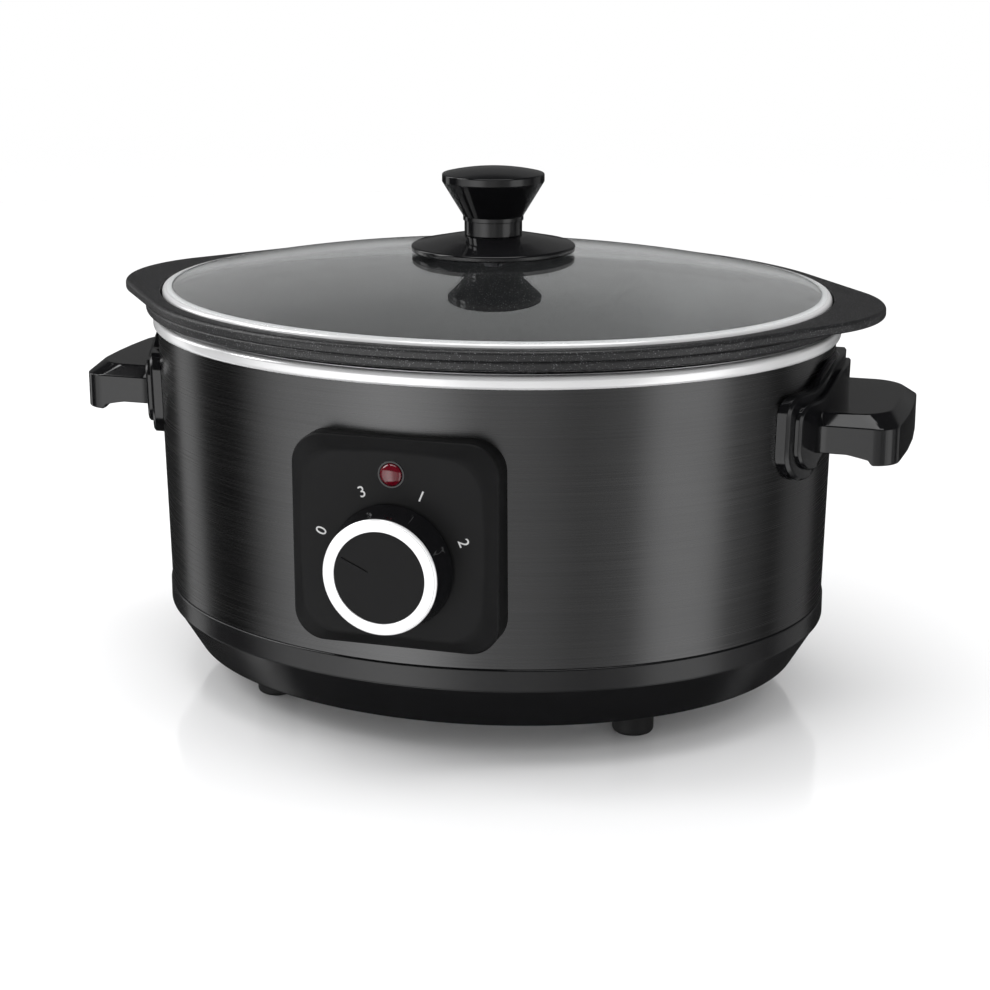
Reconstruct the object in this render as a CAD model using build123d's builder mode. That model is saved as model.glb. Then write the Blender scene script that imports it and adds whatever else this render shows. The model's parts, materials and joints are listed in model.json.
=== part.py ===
from build123d import *
import os
from math import sqrt

os.makedirs("parts", exist_ok=True)

# ---------------------------------------------------------------- driving sizes (mm)
# Oval slow cooker with a lift-out searing pot. +Z is up, the controls face -Y.
body_length = 305.0          # outer shell at its foot, end to end
body_width = 260.0           # outer shell at its foot, front to back
body_flare = 2.5             # how much wider the shell is at the top, per side
foot_height = 15.0
skirt_height = 20.0          # lower, drawn-in part of the base
band_height = 9.5            # plain band between skirt and shell
shell_height = 118.5
skirt_draw = 12.5            # how far the underside stands in from the band
band_proud = 0.6             # band beyond the steel shell
step_depth = 0.9             # skirt set back under the band
housing_wall = 2.5
housing_floor = 4.0
lip_height = 6.0             # upstand of the base inside the shell
sheet = 0.8                  # sheet steel of shell and flanges

ring_height = 5.5
ring_proud = 2.0
ring_width = 4.8

well_wall = 1.0
well_gap = 0.3               # between the trim ring and the well inside it
well_depth = 98.5
well_taper = 25.5            # drop of the well's half sizes from rim to floor
flange_reach = 2.4           # well flange lying on the ring

pot_wall = 2.5
pot_clearance = 1.4          # pot wall inside the well, at the rim
pot_foot_clearance = 6.4     # pot wall inside the well, at its foot
pot_floor_gap = 2.0          # pot foot above the well floor
pot_floor = 3.0
pot_corner = 14.0            # radius outside between pot wall and pot floor
well_corner = 5.0
rim_lift = 1.7               # shadow gap between well flange and pot rim
rim_reach = 10.5             # pot rim beyond the pot wall
bead_height = 4.2
rim_groove = 0.5
rim_plate = 4.2
ear_reach = 16.5             # ears beyond the oval rim, each end
ear_radius = 21.0
seat_depth = 4.0             # recess for the lid below the rim's top
seat_width = 6.5

lid_clearance = 1.0          # lid rim inside the pot's recess, all round
lid_seat_gap = 0.3
lid_rim_height = 4.9
lid_rim_width = 5.0
glass_edge = 2.0             # glass edge set back inside the lid rim
glass_thickness = 4.0
glass_rise = 16.0
glass_lift = 1.0             # glass edge above the underside of the lid rim

knob_flange_radius = 37.0
knob_flange_edge = 2.6
knob_flange_rise = 4.6
knob_neck_radius = 13.0
knob_neck_height = 8.5
knob_collar_radius = 13.6
knob_grip_radius = 23.0
knob_grip_height = 15.5
knob_band_height = 3.4
knob_crown = 2.8
lid_hole_radius = 4.5
lid_screw_radius = 2.0
knob_collar_height = 2.0
knob_screw_depth = 14.0
gasket_radius = 11.0
gasket_height = 1.5
gasket_drop = 0.3            # gasket below the crown of the curved glass

bezel_size = 88.0
bezel_corner = 13.0
bezel_proud = 8.5            # bezel face in front of the shell's top
bezel_slope_depth = 3.2      # sloped frame round the raised face
bezel_slope_width = 5.2
bezel_face_corner = 19.0
bezel_face_drop = 0.8        # the raised face sits a little low in its frame
bezel_boss_radius = 4.5
screw_slope_gap = 1.9        # screw heads clear of the curved shell
bezel_wall = 2.6
bezel_rise = 54.0            # bezel's centre above the shell's foot
lamp_edge = 14.1             # lamp's centre below the bezel's top edge
lamp_to_dial = 38.4
dial_gap = 0.6
dial_height = 15.6
dial_foot_radius = 26.5
dial_face_radius = 24.0
dial_wall = 2.2
dial_hub_radius = 7.0
dial_ring_width = 4.9
dial_ring_depth = 1.6
cap_recess = 0.3
cap_fit = 0.1
pointer_angle = 155.0        # off position, from +X towards +Z
pointer_inner = 5.0
pointer_outer = 17.5
pointer_width = 0.7
pointer_depth = 0.5
shaft_radius = 3.0
shaft_flat = 0.8             # depth of the flat on the shaft
shaft_end_gap = 0.5
bore_fit = 0.03
shaft_running = 0.06         # radial clearance of the shaft in bush and switch
lamp_radius = 4.6
lamp_fit = 0.1
lamp_proud = 2.4
lamp_flange_radius = 6.0
lamp_flange = 1.4
neon_radius = 2.2
neon_length = 9.0

switch_size = 28.0
switch_depth = 17.0
switch_socket = 8.0          # how deep the shaft stands in the switch
bush_radius = 4.5
bush_proud = 3.6             # threaded bush in front of the bezel face
bush_fit = 0.1
nut_across = 13.0
nut_height = 2.2
shell_opening = 21.0
bezel_screw_inset = 14.0     # screws in from the bezel's edges

handle_length = 32.5         # grip's corner line beyond the shell's top
handle_bulge = 2.5           # outer edge of the grip beyond its corners
handle_half_width = 40.0
handle_corner = 9.0
handle_drop = 22.5           # grip's top below the trim ring
handle_slope = 5.0           # sloped edge round the grip's top
handle_top_corner = 17.0
handle_side_depth = 17.0
handle_lip = 4.0
handle_lip_width = 9.0
handle_wall = 3.5
handle_root = 10.0           # finger hollow begins this far beyond the shell's top
handle_ceiling = 6.0         # thickness of the grip above the hollow
plate_thickness = 4.6
plate_flange = 2.2
plate_border = 4.2
plate_drop = 4.5             # top of the plate's hump below the trim ring
plate_height = 46.5
plate_hump_height = 8.5
plate_half_width = 56.0
plate_hump_half_width = 21.0
plate_hump_foot = 31.0
plate_corner = 14.0
plate_hump_corner = 6.0
screw_radius = 2.0
screw_head_radius = 3.8
screw_head_height = 2.4
screw_clearance = 0.25
handle_screw_spread = 20.0
handle_screw_length = 12.0
handle_screw_drop = 28.5     # screws below the top of the plate

foot_radius = 9.0
foot_spread_x = 83.0
foot_spread_y = 65.0
foot_round = 3.0
foot_screw_radius = 1.7
foot_screw_grip = 24.0
foot_pocket = 8.0            # recess in the foot for the screw's head
boss_radius = 6.0
boss_height = 24.0
cover_half = (76.0, 54.0)
cover_thickness = 2.0
cover_margin = 7.0
cover_fit = 0.25
cover_screw_radius = 1.5
cover_boss_height = 5.0
vent_width = 3.0
vent_length = 18.0
vent_pitch = 9.0
vent_count = 9
tie_radius = 2.5
tie_nut_height = 4.0

heater_low = 14.0            # heater band above the well floor
heater_height = 30.0
heater_thickness = 3.0
strap_thickness = 0.8
strap_height = 10.0
wrap_gap = 0.1               # between one wrapped layer and the next
blanket_low = 8.0
blanket_thickness = 5.0
blanket_height = 40.0
blanket_window = 48.0        # gap in the blanket behind the controls

gland_z = 27.0
gland_bore = 3.6
gland_radius = 6.0
gland_flange_radius = 9.0
gland_flange = 3.0
gland_length = 14.0
gland_pad_radius = 11.0
gland_pad_proud = 0.8

block_size = (26.0, 14.0, 12.0)
block_place = (28.0, 84.0)   # terminal block on the base floor, from the oval's centre
lead_radius = 1.2
lead_spread = 12.0
lead_bend = 12.0
lead_setback = 17.0          # the leads rise this far behind the bezel's face
lead_turn = 100.0
cutout_radius = 8.0
cutout_height = 6.0
cutout_place = 36.0

# ---------------------------------------------------------------- derived places
def grow(half, amount):
    """Half sizes of an oval moved outwards by an even amount."""
    return (half[0] + amount, half[1] + amount)


z_base = foot_height
z_floor = z_base + housing_floor
z_step = z_base + skirt_height
z_shell = z_step + band_height
z_lip = z_shell + lip_height
z_ring = z_shell + shell_height
z_ring_top = z_ring + ring_height
shell_foot = (body_length / 2, body_width / 2)
shell_top = grow(shell_foot, body_flare)
band_half = grow(shell_foot, band_proud)
skirt_top_half = grow(band_half, -step_depth)
skirt_foot_half = grow(band_half, -skirt_draw)
lip_half = grow(shell_foot, -sheet - screw_clearance)
ring_half = grow(shell_top, ring_proud)
ring_inner = grow(ring_half, -ring_width)
well_rim = grow(ring_inner, -well_gap)
well_foot = grow(well_rim, -well_taper)
z_well_floor = z_ring_top - well_depth
pot_rim = grow(well_rim, -well_wall - pot_clearance)
pot_foot = grow(well_foot, -well_wall - pot_foot_clearance)
z_pot = z_well_floor + well_wall + pot_floor_gap
z_bead = z_ring_top + sheet + rim_lift
z_plate = z_bead + bead_height
z_rim = z_plate + rim_plate
rim_half = grow(pot_rim, rim_reach)
pot_inner_rim = grow(pot_rim, -pot_wall)
seat_half = grow(pot_inner_rim, seat_width)
z_seat = z_rim - seat_depth
lid_half = grow(seat_half, -lid_clearance)
lid_inner = grow(lid_half, -lid_rim_width)
glass_half = grow(lid_half, -glass_edge)
z_lid = z_seat + lid_seat_gap
z_glass = z_lid + glass_lift
z_glass_top = z_glass + glass_rise + glass_thickness
bezel_face_reach = shell_top[1] + bezel_proud
front_reach = bezel_face_reach + dial_gap + dial_height
oval_y = (front_reach - rim_half[1]) / 2      # the cooker's box is centred on the origin
face_y = oval_y - bezel_face_reach
dial_back_y = face_y - dial_gap
dial_front_y = dial_back_y - dial_height
face_thickness = bezel_slope_depth + bezel_wall
inner_face_y = face_y + face_thickness       # back of the bezel's face, where switch and lamp sit
bezel_centre_z = z_shell + bezel_rise
lamp_z = bezel_centre_z + bezel_size / 2 - lamp_edge
dial_z = lamp_z - lamp_to_dial
bezel_screw_reach = bezel_size / 2 - bezel_screw_inset
handle_reach = shell_top[0] + handle_length
handle_root_x = shell_top[0] + handle_root
handle_top = z_ring - handle_drop
plate_top = z_ring - plate_drop
plate_shoulder = plate_top - plate_hump_height
plate_bottom = plate_top - plate_height
handle_screw_z = plate_top - handle_screw_drop
z_grip_side = handle_top - handle_side_depth
z_grip_lip = z_grip_side - handle_lip
z_slope = handle_top - handle_slope
axis_place = (0, oval_y)
foot_places = [
    (x, oval_y + y) for x in (-foot_spread_x, foot_spread_x) for y in (-foot_spread_y, foot_spread_y)
]
ledge_half = grow(cover_half, -cover_margin / 2)
cover_places = [
    (x * ledge_half[0] * sqrt(0.5), oval_y + y * ledge_half[1] * sqrt(0.5)) for x in (-1, 1) for y in (-1, 1)
]
bezel_screw_places = [
    (x * bezel_screw_reach, bezel_centre_z + z * bezel_screw_reach) for x in (-1, 1) for z in (-1, 1)
]
STAND = (Align.CENTER, Align.CENTER, Align.MIN)
HANG = (Align.CENTER, Align.CENTER, Align.MAX)


def oval_face(z, half):
    """Oval face on the cooker's axis at height z."""
    with BuildSketch(Plane((0, oval_y, z))) as outline:
        Ellipse(half[0], half[1])
    return outline.sketch.face()


def oval_body(*stations, mode=Mode.ADD):
    """Straight-sided body through ovals given as (height, half sizes)."""
    loft(sections=[oval_face(z, half) for z, half in stations], ruled=True, mode=mode)


def shell_half_at(z):
    """Half sizes of the shell's outside at height z."""
    return grow(shell_foot, body_flare * (z - z_shell) / shell_height)


def shell_layer(amount, mode):
    """Everything inside the shell's outer surface moved outwards by an amount."""
    low = z_shell - 2 * bezel_size
    high = z_ring + bezel_size
    oval_body((low, grow(shell_half_at(low), amount)), (high, grow(shell_half_at(high), amount)), mode=mode)


def shell_x_at(y, z):
    """Distance of the shell's outside from the middle, y off the oval's axis."""
    half_x, half_y = shell_half_at(z)
    return half_x * sqrt(1 - (y / half_y) ** 2)


def shell_y_at(x, z):
    """Distance of the shell's outside in front of the oval's axis, x off the middle."""
    half_x, half_y = shell_half_at(z)
    return half_y * sqrt(1 - (x / half_x) ** 2)


def well_half_at(z, amount=0.0):
    """Half sizes of the well's outside at height z, moved outwards by an amount."""
    return grow(well_foot, well_taper * (z - z_well_floor) / well_depth + amount)


def front_plane(x, y, z):
    """Drawing plane that faces the user, with +X to the right and +Z up."""
    return Plane(origin=(x, y, z), x_dir=(1, 0, 0), z_dir=(0, -1, 0))


def rear_plane(x, y, z):
    """Drawing plane whose normal points to the rear."""
    return Plane(origin=(x, y, z), x_dir=(-1, 0, 0), z_dir=(0, 1, 0))


def end_plane(side, x, y, z):
    """Drawing plane whose normal points away from the middle at one end of the cooker."""
    return Plane(origin=(side * x, oval_y + y, z), x_dir=(0, side, 0), z_dir=(side, 0, 0))


def screws(places, radius, head_radius, head_height, length):
    """Cross-headed screws: each place is a plane under the head, its normal along the thread."""
    with Locations(*places):
        Cylinder(radius, length, align=STAND)
        Cylinder(head_radius, head_height, align=HANG)
        with Locations((0, 0, -head_height)):
            Box(1.5 * head_radius, 0.3 * head_radius, head_height, mode=Mode.SUBTRACT)
            Box(0.3 * head_radius, 1.5 * head_radius, head_height, mode=Mode.SUBTRACT)


def bezel_outline(inset, corner, drop=0.0):
    """Rounded square of the control bezel, drawn in by an inset."""
    with Locations((0, -drop)):
        RectangleRounded(bezel_size - 2 * inset, bezel_size - 2 * inset, corner)


def plate_outline(border):
    """Bell-shaped face of a handle plate at the right end, drawn in by a border."""
    half = plate_half_width - border
    foot = plate_hump_foot - border / 2
    hump = plate_hump_half_width - border / 2
    low, shoulder, high = plate_bottom + border, plate_shoulder - border, plate_top - border
    with BuildSketch(end_plane(1, body_length / 3, 0, 0)) as bell:
        with BuildLine():
            Polyline((-half, low), (-half, shoulder), (-foot, shoulder), (-hump, high), (hump, high),
                     (foot, shoulder), (half, shoulder), (half, low), close=True)
        make_face()
        fillet(bell.vertices().filter_by(lambda v: v.Z < low + 1), plate_corner)
        fillet(bell.vertices().filter_by(lambda v: v.Z > low + plate_corner + 1), plate_hump_corner)
    return bell.sketch.face()


def grip_outline(z, half_width, corner, reach):
    """D-shaped plan of the grip at height z: straight sides, bulged outer edge, round corners."""
    with BuildSketch(Plane((0, oval_y, z))) as plan:
        with BuildLine():
            Polyline((reach, half_width), (body_length / 3, half_width), (body_length / 3, -half_width),
                     (reach, -half_width))
            ThreePointArc((reach, -half_width), (reach + handle_bulge, 0), (reach, half_width))
        make_face()
        fillet(plan.vertices().group_by(Axis.X)[-1], corner)
    return plan.sketch.face()


def shaft_section(radius):
    """Round section with a flat on top, as on a switch shaft and in the bore that takes it."""
    Circle(radius)
    with Locations((0, 2 * radius - shaft_flat)):
        Rectangle(2 * radius, 2 * radius, mode=Mode.SUBTRACT)


def save(piece, name):
    """Label a finished piece and write it under its name."""
    piece.part.label = name
    export_step(piece.part, f"parts/{name}.step")


# ---------------------------------------------------------------- base
with BuildPart() as base_housing:
    oval_body((z_base, skirt_foot_half), (z_step, skirt_top_half))
    oval_body((z_step, band_half), (z_shell, band_half))
    oval_body((z_shell, lip_half), (z_lip, lip_half))
    with BuildSketch(rear_plane(0, oval_y, gland_z)):
        Circle(gland_pad_radius)
    extrude(amount=band_half[1] + gland_pad_proud)
    oval_body(
        (z_floor, grow(skirt_foot_half, -housing_wall)),
        (z_step, grow(skirt_top_half, -housing_wall)),
        (z_lip, grow(lip_half, -housing_wall)),
        mode=Mode.SUBTRACT,
    )
    with Locations(*[(x, y, z_base) for x, y in foot_places]):
        Cylinder(boss_radius, boss_height, align=STAND)
        Cylinder(foot_screw_radius, boss_height - housing_wall, align=STAND, mode=Mode.SUBTRACT)
    with Locations(*[(x, y, z_floor) for x, y in cover_places]):
        Cylinder(cover_margin / 2, cover_boss_height, align=STAND)
    oval_body((z_base, grow(cover_half, cover_fit)), (z_base + cover_thickness, grow(cover_half, cover_fit)),
              mode=Mode.SUBTRACT)
    with BuildSketch(Plane((0, oval_y, z_base))):
        Ellipse(cover_half[0] - cover_margin, cover_half[1] - cover_margin)
        with Locations(*[(x, y - oval_y) for x, y in cover_places]):
            Circle(cover_margin / 2 + cover_fit, mode=Mode.SUBTRACT)
    extrude(amount=housing_floor, mode=Mode.SUBTRACT)
    with Locations(*[(x, y, z_base) for x, y in cover_places]):
        Cylinder(cover_screw_radius, housing_floor + cover_boss_height - 1, align=STAND, mode=Mode.SUBTRACT)
    with BuildSketch(rear_plane(0, oval_y, gland_z)):
        Circle(gland_radius)
    extrude(amount=body_width, mode=Mode.SUBTRACT)
save(base_housing, "base_housing")

with BuildPart() as bottom_cover:
    oval_body((z_base, cover_half), (z_base + cover_thickness, cover_half))
    with Locations((0, oval_y, z_base)):
        with GridLocations(vent_pitch, 2 * vent_length, vent_count, 2):
            with Locations((0, 0, cover_thickness / 2)):
                Box(vent_width, vent_length, cover_thickness, mode=Mode.SUBTRACT)
        Cylinder(tie_radius + screw_clearance, cover_thickness, align=STAND, mode=Mode.SUBTRACT)
    with Locations(*[(x, y, z_base) for x, y in cover_places]):
        Cylinder(cover_screw_radius + screw_clearance, cover_thickness, align=STAND, mode=Mode.SUBTRACT)
save(bottom_cover, "bottom_cover")

with BuildPart() as cover_screws:
    screws([Plane((x, y, z_base)) for x, y in cover_places], cover_screw_radius, 2 * cover_screw_radius,
           cover_screw_radius, housing_floor + cover_boss_height - 2)
save(cover_screws, "cover_screws")

with BuildPart() as feet:
    with Locations(*[(x, y, 0) for x, y in foot_places]):
        Cylinder(foot_radius, foot_height, align=STAND)
    fillet(feet.edges().group_by(Axis.Z)[0], foot_round)
    with Locations(*[(x, y, 0) for x, y in foot_places]):
        Cylinder(screw_head_radius + screw_clearance, foot_pocket, align=STAND, mode=Mode.SUBTRACT)
        Cylinder(foot_screw_radius + screw_clearance, foot_height, align=STAND, mode=Mode.SUBTRACT)
save(feet, "feet")

with BuildPart() as foot_screws:
    screws([Plane((x, y, foot_pocket)) for x, y in foot_places], foot_screw_radius, screw_head_radius,
           screw_head_height, foot_screw_grip)
save(foot_screws, "foot_screws")

with BuildPart() as cord_gland:
    with BuildSketch(Plane.YZ):
        with BuildLine():
            inner_y = oval_y + band_half[1] + gland_pad_proud + gland_flange - gland_length
            flange_y = oval_y + band_half[1] + gland_pad_proud
            Polyline(
                (inner_y, gland_z + gland_bore),
                (inner_y, gland_z + gland_radius),
                (flange_y, gland_z + gland_radius),
                (flange_y, gland_z + gland_flange_radius),
                (flange_y + gland_flange, gland_z + gland_flange_radius),
                (flange_y + gland_flange, gland_z + gland_bore),
                close=True,
            )
        make_face()
    revolve(axis=Axis((0, 0, gland_z), (0, 1, 0)))
    fillet(cord_gland.edges().filter_by(GeomType.CIRCLE).sort_by(lambda e: e.radius)[-1:], 1.0)
save(cord_gland, "cord_gland")

with BuildPart() as terminal_block:
    with Locations((block_place[0], oval_y + block_place[1], z_floor)):
        Box(*block_size, align=STAND)
        with GridLocations(block_size[0] / 3, 1, 3, 1):
            Cylinder(lead_radius, block_size[2], align=STAND, mode=Mode.SUBTRACT)
save(terminal_block, "terminal_block")

# ---------------------------------------------------------------- shell and trim
with BuildPart() as outer_shell:
    oval_body((z_shell, shell_foot), (z_ring, shell_top))
    oval_body((z_shell, grow(shell_foot, -sheet)), (z_ring, grow(shell_top, -sheet)), mode=Mode.SUBTRACT)
    with BuildSketch(front_plane(0, oval_y, dial_z)):
        Circle(shell_opening)
        with Locations((0, lamp_z - dial_z)):
            Circle(lamp_flange_radius + bush_fit)
        with Locations(*[(x, z - dial_z) for x, z in bezel_screw_places]):
            Circle(screw_radius + screw_clearance)
    extrude(amount=body_width, mode=Mode.SUBTRACT)
    with Locations(*[end_plane(side, 0, y, handle_screw_z) for side in (-1, 1)
                     for y in (-handle_screw_spread, handle_screw_spread)]):
        Cylinder(screw_radius + screw_clearance, body_length, align=STAND, mode=Mode.SUBTRACT)
save(outer_shell, "outer_shell")

with BuildPart() as trim_ring:
    oval_body((z_ring, ring_half), (z_ring_top, ring_half))
    fillet(trim_ring.edges().group_by(Axis.Z)[0], ring_proud - 0.1)
    fillet(trim_ring.edges().group_by(Axis.Z)[-1], ring_width / 2)
    oval_body((z_ring, ring_inner), (z_ring_top, ring_inner), mode=Mode.SUBTRACT)
save(trim_ring, "trim_ring")

# ---------------------------------------------------------------- heating parts
with BuildPart() as heating_well:
    oval_body((z_well_floor, well_foot), (z_ring_top, well_rim))
    oval_body((z_ring_top, grow(well_rim, flange_reach)), (z_ring_top + sheet, grow(well_rim, flange_reach)))
    oval_body(
        (z_well_floor + well_wall, grow(well_half_at(z_well_floor + well_wall), -well_wall)),
        (z_ring_top + sheet, grow(well_half_at(z_ring_top + sheet), -well_wall)),
        mode=Mode.SUBTRACT,
    )
    fillet(heating_well.edges().group_by(Axis.Z)[0], well_corner)
save(heating_well, "heating_well")

with BuildPart() as tie_stud:
    with Locations((*axis_place, z_well_floor)):
        Cylinder(tie_radius, z_well_floor - z_base + tie_nut_height, align=HANG)
        Cylinder(3 * tie_radius, 1, align=HANG)
save(tie_stud, "tie_stud")

with BuildPart() as tie_nut:
    with BuildSketch(Plane((*axis_place, z_base - tie_nut_height))):
        RegularPolygon(2 * tie_radius, 6)
        Circle(tie_radius + wrap_gap, mode=Mode.SUBTRACT)
    extrude(amount=tie_nut_height)
save(tie_nut, "tie_nut")

heater_z = z_well_floor + heater_low
strap_z = heater_z + (heater_height - strap_height) / 2
blanket_z = z_well_floor + blanket_low
strap_offset = wrap_gap + heater_thickness + wrap_gap
blanket_offset = strap_offset + strap_thickness + wrap_gap


def wrap(low, height, offset_in, thickness):
    """Band of even thickness wrapped round the tapered well."""
    with BuildPart() as band:
        oval_body((low, well_half_at(low, offset_in + thickness)),
                  (low + height, well_half_at(low + height, offset_in + thickness)))
        oval_body((low, well_half_at(low, offset_in)), (low + height, well_half_at(low + height, offset_in)),
                  mode=Mode.SUBTRACT)
    return band.part


heater_wrap = wrap(heater_z, heater_height, wrap_gap, heater_thickness)
strap_wrap = wrap(strap_z, strap_height, strap_offset, strap_thickness)
blanket_wrap = wrap(blanket_z, blanket_height, blanket_offset, blanket_thickness)

with BuildPart() as heater_band:
    add(heater_wrap)
save(heater_band, "heater_band")

with BuildPart() as heater_strap:
    add(strap_wrap)
    strap_back = well_half_at(strap_z + strap_height, strap_offset)[1] + strap_thickness / 2
    with Locations((0, oval_y + strap_back, strap_z)):
        Box(2 * strap_height, strap_height / 2, strap_height, align=(Align.CENTER, Align.MIN, Align.MIN))
        with Locations(Location((0, strap_height / 4, strap_height / 2), (0, 90, 0))):
            Cylinder(screw_radius, 3 * strap_height)
save(heater_strap, "heater_strap")

with BuildPart() as insulation_blanket:
    add(blanket_wrap)
    with Locations((0, 0, blanket_z)):
        Box(blanket_window, 2 * body_width, blanket_height, align=STAND, mode=Mode.SUBTRACT)
save(insulation_blanket, "insulation_blanket")

with BuildPart() as thermal_cutout:
    with Locations((cutout_place, oval_y, z_well_floor)):
        Cylinder(cutout_radius, cutout_height, align=HANG)
        with Locations((0, 0, -cutout_height)):
            with GridLocations(cutout_radius, 1, 2, 1):
                Box(sheet, 4 * sheet, cutout_height, align=HANG)
save(thermal_cutout, "thermal_cutout")

# ---------------------------------------------------------------- controls
bezel_depth = bezel_face_reach - shell_y_at(bezel_size / 2, bezel_centre_z) + 2 * bezel_wall
with BuildPart() as control_bezel:
    with BuildSketch(front_plane(0, face_y + bezel_slope_depth, bezel_centre_z)):
        bezel_outline(0, bezel_corner)
    extrude(amount=-bezel_depth)
    with BuildSketch(front_plane(0, face_y + bezel_slope_depth, bezel_centre_z)):
        bezel_outline(0, bezel_corner)
    with BuildSketch(front_plane(0, face_y, bezel_centre_z)):
        bezel_outline(bezel_slope_width, bezel_face_corner, bezel_face_drop)
    loft(ruled=True)
    with BuildSketch(front_plane(0, face_y + bezel_slope_depth + bezel_wall, bezel_centre_z)):
        bezel_outline(bezel_wall, bezel_corner - bezel_wall)
    extrude(amount=-bezel_depth, mode=Mode.SUBTRACT)
    with BuildSketch(front_plane(0, face_y + bezel_wall, dial_z)):
        with Locations(*[(x, z - dial_z) for x, z in bezel_screw_places]):
            Circle(bezel_boss_radius)
    extrude(amount=-bezel_depth)
    shell_layer(0, Mode.SUBTRACT)
    with BuildSketch(front_plane(0, face_y + bezel_wall, dial_z)):
        with Locations(*[(x, z - dial_z) for x, z in bezel_screw_places]):
            Circle(screw_radius)
    extrude(amount=-bezel_depth, mode=Mode.SUBTRACT)
    with BuildSketch(front_plane(0, face_y + bezel_depth, dial_z)):
        Circle(bush_radius + bush_fit)
        with Locations((0, lamp_z - dial_z)):
            Circle(lamp_radius + lamp_fit)
    extrude(amount=2 * bezel_depth, mode=Mode.SUBTRACT)
save(control_bezel, "control_bezel")

bezel_screw_y = oval_y - shell_y_at(bezel_screw_reach, bezel_centre_z) + sheet + screw_slope_gap
with BuildPart() as bezel_screws:
    screws([front_plane(x, bezel_screw_y, z) for x, z in bezel_screw_places], screw_radius, screw_head_radius,
           screw_head_height, bezel_screw_y - face_y - 2 * bezel_wall)
save(bezel_screws, "bezel_screws")

with BuildPart() as rotary_switch:
    with BuildSketch(front_plane(0, inner_face_y, dial_z)):
        RectangleRounded(switch_size, switch_size, 2)
    extrude(amount=-switch_depth)
    with BuildSketch(front_plane(0, inner_face_y, dial_z)):
        Circle(bush_radius)
    extrude(amount=face_thickness + bush_proud)
    with BuildSketch(front_plane(0, inner_face_y + switch_socket, dial_z)):
        Circle(shaft_radius + shaft_running)
    extrude(amount=switch_socket + face_thickness + bush_proud, mode=Mode.SUBTRACT)
save(rotary_switch, "rotary_switch")

with BuildPart() as switch_nut:
    with BuildSketch(front_plane(0, face_y, dial_z)):
        RegularPolygon(nut_across / 2, 6, major_radius=False)
        Circle(bush_radius + bush_fit, mode=Mode.SUBTRACT)
    extrude(amount=nut_height)
save(switch_nut, "switch_nut")

shaft_front_y = dial_front_y + dial_ring_depth + dial_wall
with BuildPart() as switch_shaft:
    with BuildSketch(front_plane(0, inner_face_y + switch_socket - shaft_end_gap, dial_z)):
        Circle(shaft_radius)
    extrude(amount=switch_socket - shaft_end_gap + face_thickness + bush_proud)
    with BuildSketch(front_plane(0, face_y - bush_proud, dial_z)):
        shaft_section(shaft_radius)
    extrude(amount=face_y - bush_proud - shaft_front_y)
save(switch_shaft, "switch_shaft")

with BuildPart() as lamp_lens:
    with BuildSketch(Plane.YZ):
        with BuildLine():
            Polyline(
                (face_y - lamp_proud / 3, lamp_z + lamp_radius),
                (inner_face_y, lamp_z + lamp_radius),
                (inner_face_y, lamp_z + lamp_flange_radius),
                (inner_face_y + lamp_flange, lamp_z + lamp_flange_radius),
                (inner_face_y + lamp_flange, lamp_z + neon_radius + 1),
                (face_y + bezel_wall / 2, lamp_z + neon_radius + 1),
                (face_y + bezel_wall / 2, lamp_z),
                (face_y - lamp_proud, lamp_z),
            )
            lamp_bow = (face_y - 0.8 * lamp_proud, lamp_z + lamp_radius / 2)
            ThreePointArc((face_y - lamp_proud, lamp_z), lamp_bow,
                          (face_y - lamp_proud / 3, lamp_z + lamp_radius))
        make_face()
    revolve(axis=Axis((0, 0, lamp_z), (0, 1, 0)))
save(lamp_lens, "lamp_lens")

with BuildPart() as neon_lamp:
    with BuildSketch(front_plane(0, face_y + bezel_wall / 2 + 1 + neon_length, lamp_z)):
        Circle(neon_radius)
    extrude(amount=neon_length)
    fillet(neon_lamp.edges().group_by(Axis.Y)[0], neon_radius / 2)
save(neon_lamp, "neon_lamp")

with BuildPart() as control_dial:
    with BuildSketch(front_plane(0, dial_back_y, dial_z)):
        Circle(dial_foot_radius)
    with BuildSketch(front_plane(0, dial_front_y + dial_ring_depth, dial_z)):
        Circle(dial_face_radius)
    loft(ruled=True)
    with BuildSketch(front_plane(0, dial_back_y, dial_z)):
        Circle(dial_face_radius - dial_wall)
        Circle(dial_hub_radius, mode=Mode.SUBTRACT)
    extrude(amount=dial_height - dial_ring_depth - dial_wall, mode=Mode.SUBTRACT)
    with BuildSketch(front_plane(0, dial_back_y, dial_z)):
        Circle(nut_across)
    extrude(amount=bush_proud + dial_gap, mode=Mode.SUBTRACT)
    with BuildSketch(front_plane(0, dial_back_y, dial_z)):
        shaft_section(shaft_radius + bore_fit)
    extrude(amount=dial_back_y - shaft_front_y, mode=Mode.SUBTRACT)
save(control_dial, "control_dial")

with BuildPart() as dial_ring:
    with BuildSketch(front_plane(0, dial_front_y + dial_ring_depth, dial_z)):
        Circle(dial_face_radius)
        Circle(dial_face_radius - dial_ring_width, mode=Mode.SUBTRACT)
    extrude(amount=dial_ring_depth)
    chamfer(dial_ring.edges().group_by(Axis.Y)[0].sort_by(lambda e: e.radius)[-1:], 0.5)
save(dial_ring, "dial_ring")

with BuildPart() as dial_cap:
    with BuildSketch(front_plane(0, dial_front_y + dial_ring_depth, dial_z)):
        Circle(dial_face_radius - dial_ring_width - cap_fit)
    extrude(amount=dial_ring_depth - cap_recess)
    with BuildSketch(front_plane(0, dial_front_y, dial_z)):
        with Locations(Location((0, 0, 0), (0, 0, pointer_angle))):
            with Locations(((pointer_inner + pointer_outer) / 2, 0)):
                SlotOverall(pointer_outer - pointer_inner, pointer_width)
    extrude(amount=-cap_recess - pointer_depth, mode=Mode.SUBTRACT)
save(dial_cap, "dial_cap")

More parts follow.
